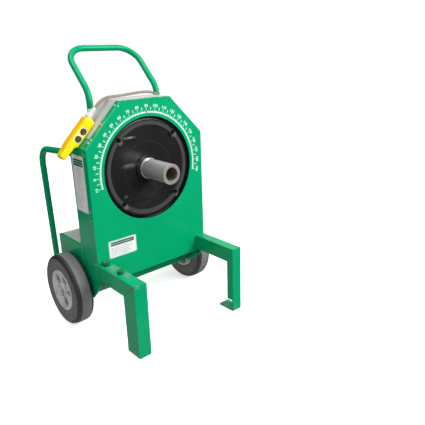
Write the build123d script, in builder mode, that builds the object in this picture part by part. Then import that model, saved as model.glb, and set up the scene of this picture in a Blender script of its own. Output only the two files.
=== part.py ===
"""Wheeled electric conduit bender: power unit with drive plate, spindle, legs, wheels and pendant.

Millimetres, +Z up, +X to the right of someone facing the machine, -Y towards them.
The origin is on the floor, under the middle of the machine's length and width.
Depths are counted backwards from the face of the front plate.
"""

import os
from math import acos, cos, hypot, pi, radians, sin, tan

from build123d import *

os.makedirs("parts", exist_ok=True)

# ---- housing
leg_reach = 236.0  # front of the left leg, ahead of the front plate
loop_reach = 441.0  # back of the rear loops, behind the front plate
plate_y = (leg_reach - loop_reach) / 2  # face of the front plate
housing_half = 260.0
housing_bottom = 207.7
housing_shoulder = 725.5  # where the sides turn in to the sloping corners
housing_top = 877.6
top_half = 110.0
housing_depth = 122.0
flange_depth = 22.0
sheet = 3.0
plate_thick = 4.0
bend_radius = 5.0
lap_gap = 0.2
lip_length = 12.0
rear_flange = 27.0

# ---- working height and drive plate
spindle_z = 615.0
opening_r = 198.5
drive_r = 194.7
drive_face = 9.0  # depth of the drive plate's face
drive_thick = 22.0
drive_ring_outer = 179.0
drive_ring_inner = 167.0
drive_round = 11.0
drive_recess = 5.0
hub_land_r = 54.6
pin_circle_r = 172.6
pin_hole_r = 9.6
pin_boss_r = 13.5
pin_boss_rise = 1.0

# ---- spindle
spindle_r = 38.1  # nose that a bending shoe slides on
journal_r = 38.6  # from the collar back
relief_r = 37.2
relief_wide = 1.5
spindle_chamfer = 1.5
spindle_bore_r = 25.4
spindle_reach = 137.0  # ahead of the front plate
spindle_end = 116.0
collar_wall = 2.0
collar_long = 7.0
collar_chamfer = 1.0
seat_gap = 0.05  # turned pieces that sit on one another
nut_wall = 14.0
thrust_gap = 0.5
run_gap = 0.06  # shafts in their bushings
key_wide = 12.0
key_high = 8.0
key_gap = 0.1
hub_r = 80.0
hub_thick = 8.0
hub_bolt_circle_r = 62.0
hub_bolts = 6
hub_bolt_tail = 11.0
hub_bolt_gap = 0.8  # between the heads and the front web
bolt_r = 4.0
bolt_clear = 0.2

# ---- webs and gear train
web_front = 42.0
web_thick = 12.0
rear_web_front = 98.0
web_hole_x = 165.0
web_hole_r = 45.0
bushing_wall = 11.4
lay_bushing_wall = 7.5
web_spacer_r = 10.0
web_spacer_x = 215.0
web_spacer_heights = (300.0, 700.0)
pressure_angle = 25.0
backlash = 0.3
bull_module = 6.0
bull_teeth = 64
lay_pinion_teeth = 14
bull_front = 73.0
bull_wide = 20.0
bull_hole_circle = 118.0
bull_hole_r = 36.0
motor_module = 4.0
lay_gear_teeth = 44
motor_pinion_teeth = 14
lay_gear_front = 58.0
lay_gear_wide = 12.0
lay_hole_circle = 50.0
lay_hole_r = 16.0
pinion_over = 1.0  # the motor pinion is this much wider each side
lay_r = 12.5
motor_shaft_r = 9.0
lay_z = spindle_z - bull_module * (bull_teeth + lay_pinion_teeth) / 2
motor_z = lay_z - motor_module * (lay_gear_teeth + motor_pinion_teeth) / 2

# ---- motor
reducer_flange_r = 60.0
reducer_flange = 8.0
reducer_r = 50.0
reducer_long = 68.0
motor_r = 52.0
motor_long = 95.0
motor_bell_r = 40.0
motor_bell = 14.0
motor_fins = 24
fin_gap = 6.0
fin_deep = 1.5
fin_end = 8.0
shaft_in_reducer = 26.0
shaft_end_gap = 2.0

# ---- base
side_thick = 6.0
base_depth = 316.0
base_top = 333.0
pan_z = 165.0
nose_depth = 35.0  # depth of the base's front edge
nose_z = 163.0
carrier_bottom = 112.0
carrier_front = 110.0
carrier_back = 245.0
cross_lift = 2.0
cover_round = 2.5
cross_thick = 6.0
cross_flange = 34.0
bar_size = 22.0
bar_wall = 3.0
bar_depth = 238.0

# ---- legs
left_x = 258.2  # outer face of the left leg
left_wide = 51.0
left_top = 287.2
arm_high = 62.8
left_deep = 74.4
tube_wall = 4.8
tube_round = 3.0
foot_thick = 6.0
block_inset = 8.0
right_x = 258.5
right_wide = 45.2
right_top = 278.7
right_reach = 230.0
right_deep = 34.0
channel_wall = 5.0
right_foot_thick = 8.0
right_foot_long = 75.0
right_foot_lap = 2.0
notch_high = 40.0
boss_r = 13.0
boss_hole_r = 5.5
boss_high = 14.4
boss_first = 15.0  # ahead of the front plate
boss_pitch = 97.0

# ---- wheels
axle_r = 9.5
axle_depth = 187.6
tyre_r = 144.5
tyre_shoulder = 14.0
tyre_wide = 69.0
wheel_gap = 6.3  # between a wheel and the housing
rim_r = 84.0
rim_wall = 9.0
rim_inset = 4.0
wheel_hub_r = 25.0
spoke_root = 4.0  # a spoke runs this far into the hub and the rim
tyre_round = 6.0
spokes = 6
spoke_wide = 18.0
spoke_thick = 12.0
washer_r = 18.0
cap_r = 22.0
cap_wall = 5.0
cap_round = 3.0
end_gap = 0.3

# ---- handle
handle_r = 11.7
handle_wall = 3.4
handle_half = 152.0
handle_behind = 18.0  # the uprights, behind the housing
handle_foot = 420.0
handle_knee = 902.0
handle_lean = 156.0
handle_top = 1058.0
handle_knee_r = 90.0
handle_corner_r = 78.0
saddle_heights = (480.0, 750.0)
saddle_high = 20.0
saddle_ear = 34.0
saddle_thick = 6.0
saddle_wall = 5.0
ear_bolt = 27.0

# ---- rear loops
loop_r = 12.4
loop_wall = 2.0
loop_gap = 0.2
loop_x = housing_half - side_thick - loop_r - loop_gap
loop_start_z = 694.0
loop_corner_z = 673.0
loop_low_z = 150.0
loop_lean = 14.0
loop_over = 1.7  # the upper bend passes this far inside its corner
loop_upper_r = 66.0
loop_lower_r = 45.0
loop_flange_thick = 5.0
loop_flange_wide = 34.0
loop_flange_round = 5.0
loop_flange_high = 60.0
loop_bolt = 21.0

# ---- screws
screw_r = 2.9
screw_clear_r = 3.2
screw_head_r = 5.5
screw_head = 3.0
screw_long = 11.0
screw_depth = 15.0
bolt_head_r = 6.5
bolt_head = 5.0
bolt_past = 12.0
frame_bolt_head_r = 5.5
frame_bolt_tail = 3.0

# ---- vents
vent_size = (150.0, 9.0)
vent_pitch = 22.0
vents = 7
cover_vent_size = (110.0, 6.0)
cover_vent_pitch = 16.0
cover_vents = 6

# ---- electrical pieces
control_size = (140.0, 140.0, 120.0)
control_x = 165.0
control_depth = 220.0
control_wall = 2.0
contactor_size = (45.0, 70.0, 80.0)
contactor_pitch = 60.0
switch_x = 150.0
switch_z = 250.0
switch_body = 30.0
switch_body_deep = 18.0
switch_bush_r = 9.0
switch_bore_r = 6.0
switch_proud = 7.0
switch_bore_deep = 6.0  # past the cover's inner face
toggle_ball_r = 5.5
toggle_pin_r = 1.5
toggle_r = 2.5
toggle_long = 24.0
toggle_tilt = 12.0
toggle_taper = -2.0
toggle_round = 1.5
inlet_x = -150.0
inlet_z = 250.0
inlet_r = 24.0
inlet_flange_r = 31.0
inlet_bore_r = 19.0
inlet_deep = 26.0
inlet_pin_r = 2.5
inlet_pin_circle = 10.5
inlet_flange = 4.0

# ---- pendant and its cord
pendant_low = -65.0  # along the sloping corner, from its lower edge
pendant_long = 177.0
pendant_thick = 42.0
pendant_deep = 43.0
pendant_front = 49.0
pendant_round = 11.0
pendant_edge = 4.0
button_r = 11.3
button_gap = 0.3
button_long = 12.0
button_round = 2.0
button_room = 1.0  # left under a pressed button
button_proud = 3.5
button_travel = 2.5
button_low = 24.3
button_pitch = 32.5
bezel_wide = 33.0
bezel_deep = 1.5
boot_long = 43.0
boot_big_r = 13.0
boot_small_r = 6.5
boot_rise = 27.0
cord_r = 5.0
cord_lead = 28.0  # straight run out of the boot
coil_x = 58.0
coil_turn_r = 55.0
coil_bundle_r = 14.0
coil_behind = 20.0
coil_entry = 100.0  # where the cord joins the coil, in degrees from the right over the top
coil_exit = 215.0
hook_z = 650.0
hook_r = 5.0
hook_reach = 44.0
hook_tip = 20.0
hook_lean = 4.0
hook_bend = 8.0
gland_x = 110.0
gland_depth = 164.0
gland_r = 12.0
gland_high = 32.0
gland_nut = 9.0
gland_step = 2.5
gland_lip = 1.2


def facing(depth):
    """Upright plane that looks forward, so deep behind the front plate's face."""
    return Plane.XZ.offset(-(plate_y + depth))


def backing(depth, x, z):
    """Upright plane that looks backward, with its centre at x and z."""
    return Plane(origin=(x, plate_y + depth, z), x_dir=(-1, 0, 0), z_dir=(0, 1, 0))


def yz(depth, z):
    """Point of a side view, for a sketch on a plane that looks along X."""
    return (plate_y + depth, z)


def outward(start, end, distance, depth):
    """Plane on the wall between two corners of the outline, looking out of the housing."""
    run = hypot(end[0] - start[0], end[1] - start[1])
    along = ((end[0] - start[0]) / run, (end[1] - start[1]) / run)
    spot = (start[0] + distance * along[0], plate_y + depth, start[1] + distance * along[1])
    return Plane(origin=spot, x_dir=(0, 1, 0), z_dir=(along[1], 0, -along[0]))


def gear_outline(teeth, module, tooth_at):
    """Corners of an involute gear, with one tooth centred on the angle tooth_at in degrees."""
    pitch_r = teeth * module / 2
    base_r = pitch_r * cos(radians(pressure_angle))
    root_r = pitch_r - 1.25 * module
    tip_r = pitch_r + module
    involute = tan(radians(pressure_angle)) - radians(pressure_angle)
    half = pi / (2 * teeth) - backlash / (4 * pitch_r) + involute
    low_r = max(base_r, root_r)
    steps = [low_r + (tip_r - low_r) * k / 3 for k in range(4)]
    flank = [(r, half - (tan(acos(base_r / r)) - acos(base_r / r))) for r in steps]
    if root_r < base_r:
        flank.insert(0, (root_r, flank[0][1]))
    corners = []
    for tooth in range(teeth):
        middle = radians(tooth_at) + 2 * pi * tooth / teeth
        corners += [(r * cos(middle - a), r * sin(middle - a)) for r, a in flank]
        corners += [(r * cos(middle + a), r * sin(middle + a)) for r, a in reversed(flank)]
    return corners


def easy_radii(points):
    """Largest even bend at each inner point of a cord's route."""
    radii = []
    for before, here, after in zip(points, points[1:], points[2:]):
        run_in = Vector(*here) - Vector(*before)
        run_out = Vector(*after) - Vector(*here)
        half_turn = radians(run_in.get_angle(run_out)) / 2
        radii.append(0.45 * min(run_in.length, run_out.length) / tan(half_turn))
    return radii


# ---- places worked out from the sizes
low_left = (-housing_half, housing_bottom)
low_right = (housing_half, housing_bottom)
shoulder_right = (housing_half, housing_shoulder)
top_right = (top_half, housing_top)
top_left = (-top_half, housing_top)
shoulder_left = (-housing_half, housing_shoulder)
housing_corners = (low_left, low_right, shoulder_right, top_right, top_left, shoulder_left)
slope_long = hypot(housing_half - top_half, housing_top - housing_shoulder)
slope_x = (housing_half - top_half) / slope_long
slope_z = (housing_top - housing_shoulder) / slope_long
side_long = housing_shoulder - housing_bottom
side_screws = (0.16 * side_long, 0.56 * side_long, 0.955 * side_long)
slope_screws = (0.12 * slope_long, 0.5 * slope_long, 0.9 * slope_long)
screw_spots = [outward(low_right, shoulder_right, d, screw_depth) for d in side_screws]
screw_spots += [outward(shoulder_right, top_right, d, screw_depth) for d in slope_screws]
screw_spots += [outward(top_right, top_left, top_half * k, screw_depth) for k in (0.3, 1.7)]
screw_spots += [outward(top_left, shoulder_left, slope_long - d, screw_depth) for d in slope_screws]
screw_spots += [outward(shoulder_left, low_left, side_long - d, screw_depth) for d in side_screws]
rear_screw_x = housing_half - sheet - rear_flange / 4
rear_screw_top = housing_top - sheet - rear_flange / 4
rear_screw_heights = (380.0, 510.0, 640.0)
rear_screw_spots = [(x, z) for x in (-rear_screw_x, rear_screw_x) for z in rear_screw_heights]
rear_screw_spots += [(-0.7 * top_half, rear_screw_top), (0.7 * top_half, rear_screw_top)]
saddle_spots = [(x, z) for x in (-handle_half, handle_half) for z in saddle_heights]
saddle_bolt_spots = [(x + dx, z) for x, z in saddle_spots for dx in (-ear_bolt, ear_bolt)]
loop_bolt_spots = [
    (x, loop_start_z + dz) for x in (-loop_x, loop_x) for dz in (-loop_bolt, loop_bolt)
]
bushing_r = journal_r + bushing_wall
collar_r = journal_r + collar_wall
lay_bushing_r = lay_r + lay_bushing_wall
axle_z = tyre_r
web_back = web_front + web_thick
rear_web_back = rear_web_front + web_thick
reducer_front = housing_depth
back_y = plate_y + housing_depth
handle_y = back_y + handle_behind
wheel_inner = housing_half + wheel_gap
wheel_outer = wheel_inner + tyre_wide
pendant_axis = Plane(
    origin=(-housing_half, plate_y + pendant_front, housing_shoulder),
    x_dir=(slope_x, 0, slope_z),
    z_dir=(0, -1, 0),
)  # local x up the sloping corner, local y straight out of it, local z forward


# ================================================================ housing
with BuildPart() as front_plate:
    with BuildSketch(facing(flange_depth)):
        Polygon(*housing_corners, align=None)
    extrude(amount=flange_depth)
    fillet(front_plate.edges().filter_by(Axis.Y), radius=bend_radius)
    with BuildSketch(facing(flange_depth)):
        Polygon(*housing_corners, align=None)
        offset(amount=-sheet, kind=Kind.INTERSECTION)
    extrude(amount=flange_depth - plate_thick, mode=Mode.SUBTRACT)
    with BuildSketch(facing(plate_thick)):
        with Locations((0, spindle_z)):
            Circle(opening_r)
    extrude(amount=plate_thick, mode=Mode.SUBTRACT)
    with Locations(*screw_spots):
        Hole(radius=screw_clear_r, depth=2 * sheet)

with BuildPart() as housing_shell:
    with BuildSketch(facing(housing_depth - sheet)):
        Polygon(*housing_corners, align=None)
    extrude(amount=housing_depth - sheet - flange_depth)
    fillet(housing_shell.edges().filter_by(Axis.Y), radius=bend_radius)
    with BuildSketch(facing(housing_depth - sheet)):
        Polygon(*housing_corners, align=None)
        offset(amount=-sheet, kind=Kind.INTERSECTION)
    extrude(amount=housing_depth - sheet - flange_depth, mode=Mode.SUBTRACT)
    with BuildSketch(facing(flange_depth + lip_length)):
        Polygon(*housing_corners, align=None)
        offset(amount=-sheet, kind=Kind.INTERSECTION)
        offset(amount=-sheet - lap_gap, kind=Kind.INTERSECTION, mode=Mode.SUBTRACT)
    extrude(amount=lip_length)
    with BuildSketch(facing(flange_depth)):
        Polygon(*housing_corners, align=None)
        offset(amount=-sheet - lap_gap, kind=Kind.INTERSECTION)
        offset(amount=-sheet, kind=Kind.INTERSECTION, mode=Mode.SUBTRACT)
    extrude(amount=lip_length)
    with BuildSketch(facing(housing_depth - sheet)):
        Polygon(*housing_corners, align=None)
        offset(amount=-sheet, kind=Kind.INTERSECTION)
        offset(amount=-rear_flange, kind=Kind.INTERSECTION, mode=Mode.SUBTRACT)
    extrude(amount=sheet)
    with Locations(*screw_spots):
        Hole(radius=screw_clear_r, depth=4 * sheet)
    with BuildSketch(facing(housing_depth - sheet)):
        with Locations(*rear_screw_spots):
            Circle(screw_clear_r)
        with Locations(*loop_bolt_spots):
            Circle(bolt_r + bolt_clear)
    extrude(amount=sheet, mode=Mode.SUBTRACT)

with BuildPart() as rear_panel:
    with BuildSketch(facing(housing_depth)):
        Polygon(*housing_corners, align=None)
        with Locations((0, motor_z)):
            Circle(motor_shaft_r + sheet, mode=Mode.SUBTRACT)
        with Locations(*rear_screw_spots):
            Circle(screw_clear_r, mode=Mode.SUBTRACT)
        with Locations(*saddle_bolt_spots, *loop_bolt_spots):
            Circle(bolt_r + bolt_clear, mode=Mode.SUBTRACT)
        with Locations((0, spindle_z)):
            with GridLocations(0, vent_pitch, 1, vents):
                SlotOverall(*vent_size, mode=Mode.SUBTRACT)
    extrude(amount=sheet)
    fillet(rear_panel.edges().filter_by(Axis.Y).sort_by(Axis.X)[:2], radius=bend_radius)
    fillet(rear_panel.edges().filter_by(Axis.Y).sort_by(Axis.X)[-2:], radius=bend_radius)

with BuildPart() as front_web:
    with BuildSketch(facing(web_back)):
        Polygon(*housing_corners, align=None)
        offset(amount=-sheet, kind=Kind.INTERSECTION)
        with Locations((0, spindle_z)):
            Circle(bushing_r + seat_gap, mode=Mode.SUBTRACT)
        with Locations((0, lay_z), (0, motor_z)):
            Circle(lay_bushing_r + seat_gap, mode=Mode.SUBTRACT)
        with Locations((-web_hole_x, lay_z), (web_hole_x, lay_z)):
            Circle(web_hole_r, mode=Mode.SUBTRACT)
    extrude(amount=web_thick)

with BuildPart() as rear_web:
    with BuildSketch(facing(rear_web_back)):
        Polygon(*housing_corners, align=None)
        offset(amount=-sheet, kind=Kind.INTERSECTION)
        with Locations((0, spindle_z)):
            Circle(bushing_r + seat_gap, mode=Mode.SUBTRACT)
        with Locations((0, lay_z), (0, motor_z)):
            Circle(lay_bushing_r + seat_gap, mode=Mode.SUBTRACT)
        with Locations((-web_hole_x, lay_z), (web_hole_x, lay_z)):
            Circle(web_hole_r, mode=Mode.SUBTRACT)
    extrude(amount=web_thick)

with BuildPart() as web_spacers:
    with BuildSketch(facing(rear_web_front)):
        with Locations(*[(x, z) for x in (-web_spacer_x, web_spacer_x) for z in web_spacer_heights]):
            Circle(web_spacer_r)
    extrude(amount=rear_web_front - web_back)

with BuildPart() as main_bushings:
    for back in (web_back, rear_web_back):
        with BuildSketch(facing(back)):
            with Locations((0, spindle_z)):
                Circle(bushing_r)
                Circle(journal_r + run_gap, mode=Mode.SUBTRACT)
        extrude(amount=web_thick)

with BuildPart() as lay_bushings:
    for back in (web_back, rear_web_back):
        with BuildSketch(facing(back)):
            with Locations((0, lay_z)):
                Circle(lay_bushing_r)
                Circle(lay_r + run_gap, mode=Mode.SUBTRACT)
            with Locations((0, motor_z)):
                Circle(lay_bushing_r)
                Circle(motor_shaft_r + run_gap, mode=Mode.SUBTRACT)
        extrude(amount=web_thick)

with BuildPart() as cover_screws:
    with Locations(*screw_spots):
        Cylinder(screw_r, screw_long, align=(Align.CENTER, Align.CENTER, Align.MAX))
        Cone(screw_head_r, screw_r, screw_head, align=(Align.CENTER, Align.CENTER, Align.MIN))

with BuildPart() as rear_screws:
    with Locations(*[backing(housing_depth, x, z) for x, z in rear_screw_spots]):
        Cylinder(screw_r, screw_long, align=(Align.CENTER, Align.CENTER, Align.MAX))
        Cone(screw_head_r, screw_r, screw_head, align=(Align.CENTER, Align.CENTER, Align.MIN))

# ================================================================ main shaft
journal_front = drive_face - collar_long
hub_back = drive_face + drive_thick + hub_thick
key_places = ((hub_back, hub_thick), (bull_front + bull_wide, bull_wide))

with BuildPart() as spindle:
    for back, front, radius in (
        (spindle_end, journal_front, journal_r),
        (journal_front, journal_front - relief_wide, relief_r),
        (journal_front - relief_wide, -spindle_reach, spindle_r),
    ):
        with BuildSketch(facing(back)):
            with Locations((0, spindle_z)):
                Circle(radius)
        extrude(amount=back - front)
    with BuildSketch(facing(spindle_end)):
        with Locations((0, spindle_z)):
            Circle(spindle_bore_r)
    extrude(amount=spindle_end + spindle_reach, mode=Mode.SUBTRACT)
    chamfer(spindle.edges().group_by(Axis.Y)[0], length=spindle_chamfer)
    for back, long in key_places:
        with BuildSketch(facing(back)):
            with Locations((0, spindle_z + journal_r - key_high / 2)):
                Rectangle(key_wide, key_high, align=(Align.CENTER, Align.MIN))
        extrude(amount=long, mode=Mode.SUBTRACT)

with BuildPart() as spindle_collar:
    with BuildSketch(facing(drive_face)):
        with Locations((0, spindle_z)):
            Circle(collar_r)
            Circle(journal_r + seat_gap, mode=Mode.SUBTRACT)
    extrude(amount=collar_long)
    chamfer(spindle_collar.edges().group_by(Axis.Y)[0].sort_by(SortBy.LENGTH)[-1], length=collar_chamfer)

with BuildPart() as drive_plate:
    with BuildSketch(facing(drive_face + drive_thick)):
        with Locations((0, spindle_z)):
            Circle(drive_r)
    extrude(amount=drive_thick)
    fillet(drive_plate.edges().group_by(Axis.Y)[0], radius=drive_round)
    with BuildSketch(facing(drive_face + drive_recess)):
        with Locations((0, spindle_z)):
            Circle(drive_ring_inner)
            Circle(hub_land_r, mode=Mode.SUBTRACT)
    extrude(amount=drive_recess, mode=Mode.SUBTRACT)
    with BuildSketch(facing(drive_face + drive_thick)):
        with Locations((0, spindle_z)):
            with PolarLocations(pin_circle_r, 4, start_angle=45):
                Circle(pin_boss_r)
    extrude(amount=drive_thick + pin_boss_rise)
    with BuildSketch(facing(drive_face + drive_thick)):
        with Locations((0, spindle_z)):
            with PolarLocations(pin_circle_r, 4, start_angle=45):
                Circle(pin_hole_r)
            Circle(journal_r + seat_gap)
    extrude(amount=drive_thick + pin_boss_rise, mode=Mode.SUBTRACT)
    with BuildSketch(facing(drive_face + drive_thick)):
        with Locations((0, spindle_z)):
            with PolarLocations(hub_bolt_circle_r, hub_bolts, start_angle=30):
                Circle(bolt_r + bolt_clear)
    extrude(amount=bolt_past, mode=Mode.SUBTRACT)

with BuildPart() as drive_hub:
    with BuildSketch(facing(hub_back)):
        with Locations((0, spindle_z)):
            Circle(hub_r)
            Circle(journal_r + seat_gap, mode=Mode.SUBTRACT)
            with PolarLocations(hub_bolt_circle_r, hub_bolts, start_angle=30):
                Circle(bolt_r + bolt_clear, mode=Mode.SUBTRACT)
        with Locations((0, spindle_z)):
            Rectangle(
                key_wide + 2 * key_gap,
                journal_r + key_high / 2 + key_gap,
                align=(Align.CENTER, Align.MIN),
                mode=Mode.SUBTRACT,
            )
    extrude(amount=hub_thick)

with BuildPart() as drive_hub_bolts:
    with BuildSketch(facing(hub_back)):
        with Locations((0, spindle_z)):
            with PolarLocations(hub_bolt_circle_r, hub_bolts, start_angle=30):
                Circle(bolt_r)
    extrude(amount=hub_thick + hub_bolt_tail)
    with BuildSketch(facing(hub_back)):
        with Locations((0, spindle_z)):
            with PolarLocations(hub_bolt_circle_r, hub_bolts, start_angle=30):
                RegularPolygon(bolt_head_r, 6)
    extrude(amount=-(web_front - hub_back - hub_bolt_gap))

with BuildPart() as bull_gear:
    with BuildSketch(facing(bull_front + bull_wide)):
        with Locations((0, spindle_z)):
            Polygon(*gear_outline(bull_teeth, bull_module, -90), align=None)
    extrude(amount=bull_wide)
    with BuildSketch(facing(bull_front + bull_wide)):
        with Locations((0, spindle_z)):
            with PolarLocations(bull_hole_circle, 6, start_angle=30):
                Circle(bull_hole_r)
    extrude(amount=bull_wide, mode=Mode.SUBTRACT)
    with BuildSketch(facing(bull_front + bull_wide)):
        with Locations((0, spindle_z)):
            Circle(journal_r + seat_gap)
            Rectangle(
                key_wide + 2 * key_gap,
                journal_r + key_high / 2 + key_gap,
                align=(Align.CENTER, Align.MIN),
            )
    extrude(amount=bull_wide, mode=Mode.SUBTRACT)

with BuildPart() as spindle_keys:
    for back, long in key_places:
        with BuildSketch(facing(back)):
            with Locations((0, spindle_z + journal_r - key_high / 2)):
                Rectangle(key_wide, key_high, align=(Align.CENTER, Align.MIN))
        extrude(amount=long)

with BuildPart() as spindle_nut:
    with BuildSketch(facing(spindle_end)):
        with Locations((0, spindle_z)):
            RegularPolygon(journal_r + nut_wall, 8)
            Circle(journal_r + seat_gap, mode=Mode.SUBTRACT)
    extrude(amount=spindle_end - rear_web_back - thrust_gap)

# ================================================================ gear train and motor
lay_tooth_at = 90 + 180 / lay_pinion_teeth
motor_tooth_at = 90 + 180 / motor_pinion_teeth

with BuildPart() as layshaft:
    with BuildSketch(facing(rear_web_back)):
        with Locations((0, lay_z)):
            Circle(lay_r)
    extrude(amount=rear_web_back - web_front)
    with BuildSketch(facing(bull_front + bull_wide)):
        with Locations((0, lay_z)):
            Polygon(*gear_outline(lay_pinion_teeth, bull_module, lay_tooth_at), align=None)
    extrude(amount=bull_wide)

with BuildPart() as lay_gear:
    with BuildSketch(facing(lay_gear_front + lay_gear_wide)):
        with Locations((0, lay_z)):
            Polygon(*gear_outline(lay_gear_teeth, motor_module, -90), align=None)
            Circle(lay_r + seat_gap, mode=Mode.SUBTRACT)
            with PolarLocations(lay_hole_circle, 5, start_angle=18):
                Circle(lay_hole_r, mode=Mode.SUBTRACT)
    extrude(amount=lay_gear_wide)

with BuildPart() as motor_shaft:
    with BuildSketch(facing(reducer_front + shaft_in_reducer)):
        with Locations((0, motor_z)):
            Circle(motor_shaft_r)
    extrude(amount=reducer_front + shaft_in_reducer - web_front)
    with BuildSketch(facing(lay_gear_front + lay_gear_wide + pinion_over)):
        with Locations((0, motor_z)):
            Polygon(*gear_outline(motor_pinion_teeth, motor_module, motor_tooth_at), align=None)
    extrude(amount=lay_gear_wide + 2 * pinion_over)

with BuildPart() as reducer:
    with BuildSketch(facing(reducer_front + reducer_flange)):
        with Locations((0, motor_z)):
            Circle(reducer_flange_r)
    extrude(amount=reducer_flange)
    with BuildSketch(facing(reducer_front + reducer_long)):
        with Locations((0, motor_z)):
            Circle(reducer_r)
    extrude(amount=reducer_long - reducer_flange)
    with BuildSketch(facing(reducer_front + shaft_in_reducer + shaft_end_gap)):
        with Locations((0, motor_z)):
            Circle(motor_shaft_r + run_gap)
    extrude(amount=shaft_in_reducer + shaft_end_gap, mode=Mode.SUBTRACT)

with BuildPart() as motor:
    with BuildSketch(facing(reducer_front + reducer_long + motor_long)):
        with Locations((0, motor_z)):
            Circle(motor_r)
    extrude(amount=motor_long)
    with BuildSketch(facing(reducer_front + reducer_long + motor_long - fin_end)):
        with Locations((0, motor_z)):
            with PolarLocations(motor_r, motor_fins):
                Rectangle(fin_gap, 2 * fin_deep)
    extrude(amount=motor_long - 2 * fin_end, mode=Mode.SUBTRACT)
    with BuildSketch(facing(reducer_front + reducer_long + motor_long + motor_bell)):
        with Locations((0, motor_z)):
            Circle(motor_bell_r)
    extrude(amount=motor_bell)

# ================================================================ base
side_outline = (
    yz(0, housing_bottom),
    yz(nose_depth, nose_z),
    yz(2 * nose_depth, nose_z - nose_depth),
    yz(carrier_front, carrier_bottom),
    yz(carrier_back, carrier_bottom),
    yz(base_depth, pan_z),
    yz(base_depth, base_top),
    yz(housing_depth, base_top),
    yz(housing_depth, housing_bottom),
)

with BuildPart() as side_plate_left:
    with BuildSketch(Plane.YZ.offset(-housing_half)):
        Polygon(*side_outline, align=None)
        with Locations(yz(axle_depth, axle_z)):
            Circle(axle_r + seat_gap, mode=Mode.SUBTRACT)
    extrude(amount=side_thick)

with BuildPart() as side_plate_right:
    with BuildSketch(Plane.YZ.offset(housing_half - side_thick)):
        Polygon(*side_outline, align=None)
        with Locations(yz(axle_depth, axle_z)):
            Circle(axle_r + seat_gap, mode=Mode.SUBTRACT)
    extrude(amount=side_thick)

inner_half = housing_half - side_thick

with BuildPart() as cross_member:
    with BuildSketch(Plane.YZ.offset(-inner_half)):
        Polygon(
            yz(nose_depth, nose_z + cross_lift),
            yz(nose_depth + cross_thick + cross_flange, nose_z + cross_lift),
            yz(nose_depth + cross_thick + cross_flange, nose_z + cross_lift + cross_thick),
            yz(nose_depth + cross_thick, nose_z + cross_lift + cross_thick),
            yz(nose_depth + cross_thick, housing_bottom),
            yz(nose_depth, housing_bottom),
            align=None,
        )
    extrude(amount=2 * inner_half)

with BuildPart() as rear_pan:
    with BuildSketch(Plane.YZ.offset(-inner_half)):
        Polygon(
            yz(nose_depth + cross_thick + cross_flange, pan_z),
            yz(base_depth - sheet, pan_z),
            yz(base_depth - sheet, pan_z + sheet),
            yz(nose_depth + cross_thick + cross_flange, pan_z + sheet),
            align=None,
        )
    extrude(amount=2 * inner_half)

with BuildPart() as rear_cover:
    with BuildSketch(Plane.YZ.offset(-inner_half)):
        Polygon(
            yz(housing_depth, base_top),
            yz(base_depth, base_top),
            yz(base_depth, pan_z),
            yz(base_depth - sheet, pan_z),
            yz(base_depth - sheet, base_top - sheet),
            yz(housing_depth, base_top - sheet),
            align=None,
        )
    extrude(amount=2 * inner_half)
    fillet(rear_cover.edges().filter_by(Axis.X).group_by(Axis.Z)[-1].sort_by(Axis.Y)[-1], radius=cover_round)
    with BuildSketch(facing(base_depth)):
        with Locations((switch_x, switch_z)):
            Circle(switch_bush_r + bolt_clear)
        with Locations((inlet_x, inlet_z)):
            Circle(inlet_r + bolt_clear)
        with Locations((0, switch_z)):
            with GridLocations(0, cover_vent_pitch, 1, cover_vents):
                SlotOverall(*cover_vent_size)
    extrude(amount=2 * sheet, mode=Mode.SUBTRACT)

with BuildPart() as rear_bar:
    with BuildSketch(Plane.YZ.offset(-inner_half)):
        with Locations(yz(bar_depth + bar_size / 2, loop_low_z)):
            Rectangle(bar_size, bar_size)
            Rectangle(bar_size - 2 * bar_wall, bar_size - 2 * bar_wall, mode=Mode.SUBTRACT)
    extrude(amount=2 * inner_half)

# ================================================================ legs
with BuildPart() as arm_blocks:
    with BuildSketch(facing(web_front)):
        with Locations((left_wide / 2 - left_x, left_top - arm_high / 2)):
            Rectangle(left_wide - 2 * block_inset, arm_high - 2 * block_inset)
        with Locations((right_x - right_wide / 2, right_top - arm_high / 2)):
            Rectangle(right_wide - 2 * block_inset, arm_high - 2 * block_inset)
    extrude(amount=web_front - plate_thick)

with BuildPart() as left_leg:
    with BuildSketch(Plane.YZ.offset(-left_x)):
        Polygon(
            yz(0, left_top),
            yz(-leg_reach, left_top),
            yz(-leg_reach, 0),
            yz(-leg_reach + left_deep, 0),
            yz(-leg_reach + left_deep, left_top - arm_high),
            yz(0, left_top - arm_high),
            align=None,
        )
    extrude(amount=left_wide)
    fillet(left_leg.edges().filter_by(Axis.Y), radius=tube_round)
    with BuildSketch(Plane.YZ.offset(-left_x + tube_wall)):
        Polygon(
            yz(0, left_top - tube_wall),
            yz(-leg_reach + tube_wall, left_top - tube_wall),
            yz(-leg_reach + tube_wall, foot_thick),
            yz(-leg_reach + left_deep - tube_wall, foot_thick),
            yz(-leg_reach + left_deep - tube_wall, left_top - arm_high + tube_wall),
            yz(0, left_top - arm_high + tube_wall),
            align=None,
        )
    extrude(amount=left_wide - 2 * tube_wall, mode=Mode.SUBTRACT)

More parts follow.
